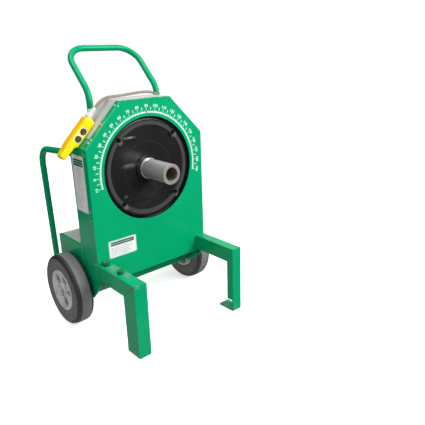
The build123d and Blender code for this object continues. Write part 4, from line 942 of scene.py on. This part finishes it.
@dataclass
class Cabinet:
    """Painted steel of the cabinet, base, legs, handle and loops, with its labels and rivets."""

    finishes: dict[str, Finish]
    green_nodes: tuple[str, ...] = (
        "front_plate", "housing_shell", "rear_panel", "side_plate_left", "side_plate_right",
        "rear_pan", "rear_cover", "rear_bar", "right_leg", "right_foot",
        "handle", "handle_saddles", "rear_loop_left", "rear_loop_right", "loop_flanges",
    )
    zinc_nodes: tuple[str, ...] = (
        "web_spacers", "cover_screws", "rear_screws", "frame_bolts", "axle", "axle_retainers", "cord_hook",
    )
    slope_clear: float = 0.045
    rivet_r: float = 0.0032
    rivet_high: float = 0.0012
    band_high: float = 0.016

    def labels(self) -> list[Label]:
        """Every label, placed from the frame's own boxes."""
        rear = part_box("rear_panel")[1].y
        shell_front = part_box("front_plate")[1].y
        deep = rear - shell_front - 0.006
        mid_y = (rear + shell_front) / 2
        long = SLOPE_RUN - self.slope_clear
        middle = (self.slope_clear + SLOPE_RUN) / 2
        x, z = SIDE_X - middle * SLOPE[0], SHOULDER_Z + middle * SLOPE[2]
        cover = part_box("rear_cover")
        right, front, back, up = (1, 0, 0), (0, -1, 0), (0, 1, 0), (0, 0, 1)
        down_slope = (SLOPE[0], 0, -SLOPE[2])
        faint = {"fill": 0.14, "paper": "decal", "ink": Ink.FAINT}
        top_size, slope_size = (2 * TOP_HALF - 0.006, deep), (long, deep)
        base_spot = (-SIDE_X + 0.065, (rear + cover[1].y) / 2 + 0.015, cover[1].z)
        return [
            Label("top_chart", (0, mid_y, SHELL_TOP), right, back, top_size, 7, 3, columns=4, **faint),
            Label("left_slope_chart", (-x, mid_y, z), SLOPE, back, slope_size, 7, 4, columns=3, **faint),
            Label("right_slope_chart", (x, mid_y, z), down_slope, back, slope_size, 7, 5, columns=3, **faint),
            Label(
                "side_plate_notice", (-SIDE_X, FACE_Y + 0.0708, 0.5915), front, up, (0.083, 0.209), 15, 6,
                header=0.13, stripes=3, border=0.0025, ink=Ink.FAINT, fill=0.3,
            ),
            Label(
                "front_notice", (-0.1485, FACE_Y, 0.3348), right, up, (0.117, 0.0645), 5, 7,
                header=0.26, stripes=2, border=0.003, fill=0.32, ink=Ink.FAINT,
            ),
            Label("base_notice", base_spot, right, back, (0.105, 0.15), 8, 8, fill=0.3, paper="decal"),
        ]

    def line(
        self,
        name: str,
        start: Point,
        end: Point,
        normal: Point,
        wide: float,
        finish: str,
        rise: float = 0.0002,
    ) -> None:
        """A narrow raised line from one point to another on a face with that normal."""
        a, b = np.array(start), np.array(end)
        run = float(np.linalg.norm(b - a))
        across = (b - a) / run
        up = np.cross(np.array(normal, float), across)
        shape = rounded_box(run, wide, min(wide * 0.45, run * 0.45), 3)
        raised = slab(shape, tuple((a + b) / 2), tuple(across), tuple(up), 0.0, rise)
        cabinet_piece(name, raised, self.finishes[finish])

    def seams(self) -> None:
        """Painted highlight on the slope's fold line, the left leg's mitre, side seam with a painted
        highlight, and painted reflections of the pendant on the sloping lip.
        """
        left, front = (-1, 0, 0), (0, -1, 0)
        foot = (-SIDE_X + 0.001, FACE_Y, SHOULDER_Z)
        head = (-TOP_HALF + 0.0004, FACE_Y, SHELL_TOP - 0.001)
        # Painted highlight: a pale green line along the fold between the front plate and the sloping lip.
        self.line("slope_fold_painted_highlight", foot, head, front, 0.0013, "pale_green")
        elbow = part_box("left_leg")[0]
        inner = (elbow.x, elbow.y + LEG_DEEP, ARM_TOP - ARM_HIGH)
        outer = (elbow.x, elbow.y + 0.0012, ARM_TOP - 0.0010)
        self.line("leg_mitre_seam", inner, outer, left, 0.0016, "seam")
        top, bottom = ((-SIDE_X, FACE_Y + 0.122, z) for z in (0.333, 0.215))
        # A real seam, its pale line painted highlight.
        self.line("side_seam_painted_highlight", top, bottom, left, 0.002, "pale_green", 0.0003)
        # Painted reflections: two yellow-green patches on the sloping lip where the yellow pendant shows in
        # the gloss.
        lip = FACE_Y + 0.0055
        for name, low, high in (("lip_pendant_reflection_high", 0.075, 0.125), ("lip_pendant_reflection_low", 0.022, 0.040)):
            ends = [tuple(f + d * a for f, a in zip((-SIDE_X, lip, SHOULDER_Z), SLOPE)) for d in (low, high)]
            self.line(name, ends[0], ends[1], SLOPE_OUT, 0.009, "pendant_reflection_green")

    def rivets(self) -> None:
        """Four small rivets by the left edge of the front plate and the shell."""
        left, front = (-1, 0, 0), (0, -1, 0)
        places = (
            ((-SIDE_X, FACE_Y + 0.028, 0.708), left),
            ((-SIDE_X, FACE_Y + 0.014, 0.462), left),
            ((-0.236, FACE_Y, 0.7585), front),
            ((-0.118, FACE_Y, 0.861), front),
        )
        for number, (spot, normal) in enumerate(places):
            across = np.cross((0, 0, 1), np.array(normal, float))
            shape = slab(disc(self.rivet_r, 16), spot, tuple(across), (0, 0, 1), 0.0, self.rivet_high)
            cabinet_piece(f"rivet_{number}", shape, self.finishes["label_border"])

    def handle_band(self) -> None:
        """A pale band turned round the foot of the handle's left upright."""
        foot_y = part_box("handle")[0].y + HANDLE_R
        inside, outside = HANDLE_R - 0.0001, HANDLE_R + 0.0003
        half = self.band_high / 2
        outline = np.array([[-half, outside], [half, outside], [half, inside], [-half, inside]])
        band = turned(outline, 40, (-0.152, foot_y, 0.838), 2)
        cabinet_piece("handle_band", band, self.finishes["label"])

    def make(self) -> None:
        """Paints the steel and sticks the labels on."""
        for node in self.green_nodes:
            dress(node, self.finishes["green"])
        dress("left_leg", self.finishes["arm_green"])
        dress("roller_bosses", self.finishes["boss_green_painted_light"])
        dress("cross_member", self.finishes["bar_green_painted_light"])
        for node in ("front_web", "rear_web", "arm_blocks"):
            dress(node, self.finishes["web"])
        for node in self.zinc_nodes:
            dress(node, self.finishes["zinc"])
        for label in self.labels():
            label.make(self.finishes)
            log.info("label %s", label.name)
        self.seams()
        self.rivets()
        self.handle_band()
        DegreeScale(self.finishes).make()


def dress(node: str, finish: Finish) -> None:
    """Gives a CAD node one finish in every slot."""
    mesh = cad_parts[node].data
    if not mesh.materials:
        mesh.materials.append(finish)
    for index in range(len(mesh.materials)):
        mesh.materials[index] = finish


# --------------------------------------------------------------------------- drive
@dataclass
class Drive:
    """Drive plate, spindle and the gear train behind them."""

    finishes: dict[str, Finish]
    gear_nodes: tuple[str, ...] = (
        "drive_hub", "bull_gear", "spindle_keys", "spindle_nut", "layshaft", "lay_gear", "motor_shaft",
    )

    def make(self) -> None:
        """Dresses the shafts, gears and motor."""
        dress("drive_plate", self.finishes["plate"])
        dress("spindle", self.finishes["spindle"])
        dress("spindle_collar", self.finishes["spindle"])
        for node in self.gear_nodes:
            dress(node, self.finishes["gear"])
        dress("drive_hub_bolts", self.finishes["zinc"])
        for node in ("main_bushings", "lay_bushings"):
            dress(node, self.finishes["bronze"])
        for node in ("motor", "reducer", "control_box"):
            dress(node, self.finishes["motor"])
        for node in ("contactors", "power_switch", "power_inlet", "cord_gland"):
            dress(node, self.finishes["dark"])
        dress("power_toggle", self.finishes["zinc"])


# --------------------------------------------------------------------------- wheels
@dataclass
class Wheel:
    """One tyre with a grooved tread on a cast wheel with oval windows."""

    finishes: dict[str, Finish]
    side: str
    shoulder: float = 0.016
    bead: float = 0.002
    groove: float = 0.0009
    grooves: int = 4
    crown_drop: float = 0.0008
    ring_shares: tuple[float, ...] = (0.30, 0.58, 0.86)
    ring_high: float = 0.0012
    steps: int = 144
    bore: float = 0.0105
    windows: int = 5
    window_r: float = 0.049
    window_long: float = 0.0205
    window_wide: float = 0.0155
    window_deep: float = 0.016
    dish_deep: float = 0.0075
    phase: float = 0.55

    def middle(self, node: str) -> tuple[Point, float, float]:
        """Centre, half width and radius of a wheel node's box."""
        low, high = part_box(f"{node}_{self.side}")
        centre = ((low.x + high.x) / 2, (low.y + high.y) / 2, (low.z + high.z) / 2)
        return centre, (high.x - low.x) / 2, (high.z - low.z) / 2

    def tyre(self) -> None:
        """Tyre: an outline of walls, round shoulders and a grooved tread turned about the axle.

        The tread's radius drops by the groove where the distance across is near a whole
        number of pitches, and the walls carry three low rings.
        """
        centre, half, big = self.middle("tyre")
        small = self.middle("rim")[2] + 0.0004
        t = np.linspace(-1, 1, 121)
        reach, edge = half - self.shoulder, self.shoulder
        near_groove = np.abs((t * (self.grooves + 1) / 2 + 0.5) % 1.0 - 0.5)
        sunk = np.clip((0.13 - near_groove) / 0.05, 0, 1) * (np.abs(t) < 0.93)
        tread = np.stack([t * reach, big - self.crown_drop * t**2 - self.groove * sunk], -1)
        turn = np.linspace(0, pi / 2, 13)[1:]
        side = big - self.crown_drop - edge * (1 - np.cos(turn))
        outer = np.stack([reach + edge * np.sin(turn), side], -1)
        wall_r = np.linspace(big - edge - 0.0015, small + self.bead, 40)
        share = (wall_r - small) / (big - edge - small)
        rings = sum(np.clip(1 - np.abs(share - at) / 0.05, 0, 1) for at in self.ring_shares)
        wall_x = half - 0.0016 - 0.0028 * np.clip(1 - share / 0.2, 0, 1) + self.ring_high * rings
        wall = np.stack([np.minimum(wall_x, half), wall_r], -1)
        inner = np.array([[half - 0.007, small], [half * 0.5, small]])
        right = np.vstack([tread[61:], outer, wall, inner])
        profile = np.vstack([tread[60:61], right, [[0.0, small]], (right * np.array([-1, 1]))[::-1]])
        points, faces = turned(profile, self.steps, centre, 0)
        name, body = f"tyre_{self.side}_grooved", f"wheel_{self.side}"
        tyre = new_piece(name, points, faces, self.finishes["wall"], body)
        tyre.data.materials.append(self.finishes["shoulder"])
        tyre.data.materials.append(self.finishes["tread"])
        across, radius = np.abs(profile[:, 0]), profile[:, 1]
        kind = np.where(across <= reach, 2, 1) * (radius > big - edge * 1.02)
        tyre.data.polygons.foreach_set("material_index", np.tile(kind.astype(np.int32), self.steps))
        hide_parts(f"tyre_{self.side}")

    def casting(self) -> None:
        """Cast wheel: both faces are a dish worked out from radius and turn.

        The face stands a little inside the tyre's wall, rises to a rim and a hub, and
        sinks by the window's depth inside ovals spaced evenly round the hub. An oval is
        where (radius - middle)^2 / long^2 + (radius x turn)^2 / wide^2 is under one.
        """
        centre, half, big = self.middle("rim")
        r = np.concatenate([np.linspace(self.bore, 0.026, 8), np.linspace(0.027, big - 0.001, 58), [big]])
        a = np.linspace(0, 2 * pi, 3 * self.steps, endpoint=False)[:, None]
        dish = self.dish_deep * (1 - eased((r - 0.068) / 0.009)) * eased((r - 0.024) / 0.006)
        dish = dish + 0.0015 * eased((r - big + 0.003) / 0.003)
        pitch = 2 * pi / self.windows
        off = (a + self.phase + pitch / 2) % pitch - pitch / 2
        wide = self.window_wide * (0.75 + 0.5 * (r - 0.030) / 0.04)
        oval = np.hypot((r - self.window_r) / self.window_long, r * off / wide)
        face = half - dish - self.window_deep * eased((1.12 - oval) / 0.24)
        out = np.broadcast_to(r, face.shape)
        x = np.concatenate([face, -face[:, ::-1]], 1)
        out = np.concatenate([out, out[:, ::-1]], 1)
        points = np.stack([x, out * np.cos(a), out * np.sin(a)], -1) + np.array(centre)
        faces = grid_faces(len(a), out.shape[1], True, True)[:, ::-1]
        finish = RimCasting(f"cast_wheel_{self.side}", centre, low=half - 0.0235, high=half - 0.0125).make()
        name, body = f"wheel_casting_{self.side}", f"wheel_{self.side}"
        wheel = new_piece(name, points.reshape(-1, 3), faces, finish, body)
        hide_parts(f"rim_{self.side}")

    def make(self) -> None:
        """Builds the tyre and its wheel."""
        self.tyre()
        self.casting()
        log.info("wheel %s", self.side)


# --------------------------------------------------------------------------- pendant
@dataclass
class PendantCord:
    """Pendant lead: over the cabinet's top, round the right upright, coiled on its hook."""

    finishes: dict[str, Finish]
    radius: float = 0.005
    whole_turns: int = 4
    per_turn: int = 14
    coil_x: float = 0.058
    coil_y: float = 0.142
    coil_r: float = 0.055
    coil_fan: float = 0.0075
    entry: float = 100.0
    leave: float = 215.0
    lead: float = 0.028
    boot_r: float = 0.0065
    hook_high: float = 0.0103
    bundle_r: float = 0.014
    tie_at: float = -20.0
    tie_wide: float = 0.018
    tie_inner: float = 0.0126
    tie_outer: float = 0.0138

    def coil_z(self) -> float:
        """Height of the coil's middle: its top rests on the hook."""
        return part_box("cord_hook")[0].z + self.hook_high - (self.coil_r - self.bundle_r)

    def route(self) -> list[Point]:
        """Points of the lead from the pendant's boot to the gland, in metres."""
        x, y, z = self.exit()
        upper = [
            (-0.118, 0.078, 0.887),
            (-0.080, 0.087, 0.8865),
            (-0.034, 0.095, 0.8875),
            (0.014, 0.101, 0.8905),
            (0.060, 0.105, 0.8925),
            (0.101, 0.1075, 0.890),
            (0.136, 0.108, 0.874),
            (0.167, 0.110, 0.847),
            (0.194, 0.121, 0.815),
            (0.205, 0.147, 0.778),
            (0.199, 0.169, 0.742),
            (0.172, 0.1785, 0.713),
            (0.145, 0.1725, 0.691),
            (0.116, 0.160, 0.676),
            (0.083, 0.1475, 0.6695),
        ]
        lower = [
            (0.031, 0.1435, 0.557),
            (0.053, 0.1475, 0.523),
            (0.076, 0.153, 0.483),
            (0.096, 0.159, 0.441),
            (0.110, 0.164, 0.400),
            (0.110, 0.164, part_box("cord_gland")[1].z),
        ]
        start = [(x, y, z), (x + self.lead * SLOPE[0], y, z + self.lead * SLOPE[2])]
        placed = [[(px, FACE_Y + depth, pz) for px, depth, pz in part] for part in (upper, lower)]
        return start + placed[0] + self.coiled() + placed[1]

    def exit(self) -> Point:
        """Middle of the boot's small end."""
        low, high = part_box("pendant_boot")
        return high.x - self.boot_r * SLOPE[2], (low.y + high.y) / 2, high.z - self.boot_r * SLOPE[0]

    def coiled(self) -> list[Point]:
        """Turns of the coil: the radius and the depth drift a little from turn to turn."""
        sweep = 360.0 * self.whole_turns + self.leave - self.entry
        count = round(sweep / 360.0 * self.per_turn)
        share = np.linspace(0.0, 1.0, count + 1)
        turn = np.radians(self.entry + sweep * share)
        drift = 2 * pi * 0.37 * sweep * share / 360.0 + 0.9
        fan = self.coil_fan * np.sin(pi * share)
        r = self.coil_r + fan * np.sin(drift)
        y = FACE_Y + self.coil_y + fan * np.cos(drift)
        points = np.stack([self.coil_x + r * np.cos(turn), y, self.coil_z() + r * np.sin(turn)], -1)
        return [tuple(map(float, point)) for point in points]

    def tie(self) -> None:
        """A hook-tape tie round the coil: a flat band turned about the bundle."""
        turn = radians(self.tie_at)
        along, deep = np.array([-sin(turn), 0.0, cos(turn)]), np.array([0.0, 1.0, 0.0])
        out = np.array([cos(turn), 0.0, sin(turn)])
        centre = np.array([self.coil_x, FACE_Y + self.coil_y, self.coil_z()]) + self.coil_r * out
        half, inner, outer = self.tie_wide / 2, self.tie_inner, self.tie_outer
        profile = np.array([[-half, inner], [half, inner], [half, outer], [-half, outer]])
        a = np.linspace(0, 2 * pi, 40, endpoint=False)[:, None, None]
        ring = profile[None, :, 1:] * (np.cos(a) * out + np.sin(a) * deep)
        points = (centre + profile[None, :, :1] * along + ring).reshape(-1, 3)
        faces = grid_faces(40, 4, True, True)[:, ::-1]
        new_piece("coil_tie", points, faces, self.finishes["tie"], "frame")

    def make(self) -> None:
        data = bpy.data.curves.new("pendant_lead", "CURVE")
        data.dimensions = "3D"
        data.bevel_depth, data.bevel_resolution = self.radius, 4
        data.resolution_u = 6
        spline = data.splines.new("NURBS")
        points = self.route()
        spline.points.add(len(points) - 1)
        for place, point in zip(spline.points, points):
            place.co = (*point, 1.0)
        spline.order_u = 3
        spline.use_endpoint_u = True
        data.materials.append(self.finishes["cord"])
        lead = bpy.data.objects.new("pendant_lead", data)
        bpy.context.scene.collection.objects.link(lead)
        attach(lead, "frame")
        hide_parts("cord_upper", "cord_coil", "cord_lower")
        length = float(spline.calc_length())
        log.info("pendant lead: %.3f m of spline", length)
        self.tie()


@dataclass
class Pendant:
    """Yellow two-button hand control that lies on the cabinet's sloping corner."""

    finishes: dict[str, Finish]
    low: float = -0.0650
    high: float = 0.1120
    thick: float = 0.042
    deep: float = 0.043
    end_round: float = 0.013
    square: float = 5.0
    hole_r: float = 0.0116
    hole_from: float = -0.006
    hole_deep: float = 0.012
    slot_r: float = 0.0168
    slot_deep: float = 0.0013
    pad_middle: float = 0.0905
    pad_half: tuple[float, float] = (0.0115, 0.0125)
    pad_high: float = 0.0009

    def place(self, u: np.ndarray, v: np.ndarray, w: np.ndarray) -> np.ndarray:
        """Puts distances along, out and back from the moulding's foot in the frame."""
        axes = [np.array(axis)[None] for axis in (SLOPE, SLOPE_OUT, (0.0, 1.0, 0.0))]
        flat = [np.asarray(d, float).reshape(-1, 1) for d in (u, v, w)]
        return np.array(PENDANT_FOOT) + sum(d * axis for d, axis in zip(flat, axes))

    def shell(self) -> None:
        """Moulding: superellipse sections carried up the slope.

        Half width and depth shrink to nothing at each end along a quarter superellipse.
        The inner side steps in below the buttons to make the neck. The front face sinks
        in a slot round the buttons and rises in a pad above them.
        """
        bend = (1 - np.cos(np.linspace(0, pi / 2, 14))) * self.end_round
        straight = np.linspace(self.low + self.end_round, self.high - self.end_round, 130)[1:-1]
        u = np.concatenate([self.low + bend, straight, self.high - bend[::-1]])
        end = np.minimum(u - self.low, self.high - u)
        power = np.where(u < 0, 3.2, 2.2)
        cap = (1 - np.clip(1 - end / self.end_round, 0, 1) ** power) ** (1 / power)
        inner = 0.011 * (1 - eased((u + 0.012) / 0.016)) + 0.002 * (1 - eased((u + 0.045) / 0.03))
        outer = self.thick - 0.003 * (1 - eased((u + 0.060) / 0.05))
        half_v = (outer - inner) / 2 * np.maximum(cap, 0.02)
        mid_v = (outer + inner) / 2
        back = self.deep - 0.008 * (1 - eased((u + 0.05) / 0.06))
        half_w = back / 2 * (0.45 + 0.55 * np.maximum(cap, 0.02))
        turn = np.linspace(0, 2 * pi, 160, endpoint=False)[None]
        c, s = np.cos(turn), np.sin(turn)
        fit = (np.abs(c) ** self.square + np.abs(s) ** self.square) ** (-1 / self.square)
        v = mid_v[:, None] + half_v[:, None] * c * fit
        w = back[:, None] / 2 + half_w[:, None] * s * fit
        u = np.broadcast_to(u[:, None], v.shape)
        front = eased((self.deep * 0.12 - w) / 0.003)
        gap = np.hypot(u - np.clip(u, BUTTON_LOW, BUTTON_HIGH), v - BUTTON_OUT)
        w = w + front * self.slot_deep * eased((self.slot_r - gap) / 0.0014)
        pad_u, pad_v = self.pad_half
        pad = np.maximum(np.abs(u - self.pad_middle) - pad_u, np.abs(v - BUTTON_OUT) - pad_v)
        clear = eased((gap - self.slot_r - 0.0004) / 0.0012)
        w = w - front * self.pad_high * eased((0.002 - pad) / 0.003) * clear
        points = self.place(u, v, w)
        rows, cols = v.shape
        faces = grid_faces(rows, cols, False, True).tolist()
        faces += [list(range(cols))[::-1], [(rows - 1) * cols + k for k in range(cols)]]
        body = new_piece("pendant_shell", points, faces, self.finishes["yellow"], "frame")
        self.drill(body)
        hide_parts("pendant_body")

    def drill(self, body: bpy.types.Object) -> None:
        """Cuts the two button holes, each a cylinder square to the front face."""
        steps = 64
        x, z = disc(self.hole_r, steps).T
        faces = [[k, (k + 1) % steps, (k + 1) % steps + steps, k + steps] for k in range(steps)]
        faces += [list(range(steps))[::-1], list(range(steps, 2 * steps))]
        for u in (BUTTON_LOW, BUTTON_HIGH):
            spot = self.place(np.array([u]), np.array([BUTTON_OUT]), np.array([0.0]))[0]
            ends = (self.hole_from, self.hole_deep)
            rings = [spot + np.stack([x, np.full_like(x, y), z], -1) for y in ends]
            mesh = bpy.data.meshes.new("drill")
            mesh.from_pydata(np.vstack(rings).tolist(), [], faces)
            cutter = bpy.data.objects.new("drill", mesh)
            bpy.context.scene.collection.objects.link(cutter)
            cut = body.modifiers.new("hole", "BOOLEAN")
            cut.operation, cut.object, cut.solver = "DIFFERENCE", cutter, "EXACT"
            graph = bpy.context.evaluated_depsgraph_get()
            result = bpy.data.meshes.new_from_object(body.evaluated_get(graph))
            body.modifiers.remove(cut)
            body.data = result
            bpy.data.objects.remove(cutter)
            bpy.data.meshes.remove(mesh)
        log.info("pendant shell: %d faces", len(body.data.polygons))

    def make(self) -> None:
        """Builds the shell and dresses the buttons and boot."""
        self.shell()
        dress("button_forward", self.finishes["dark"])
        dress("button_reverse", self.finishes["dark"])
        dress("pendant_boot", self.finishes["boot"])


def main() -> None:
    """Builds the scene, one sub-assembly after another."""
    logging.basicConfig(level=logging.INFO, format="%(name)s: %(message)s")
    finishes = paint_shop()
    Studio().make()
    PendantCord(finishes).make()
    Cabinet(finishes).make()
    Drive(finishes).make()
    for side in ("left", "right"):
        Wheel(finishes, side).make()
    Pendant(finishes).make()


if __name__ == "__main__":
    main()
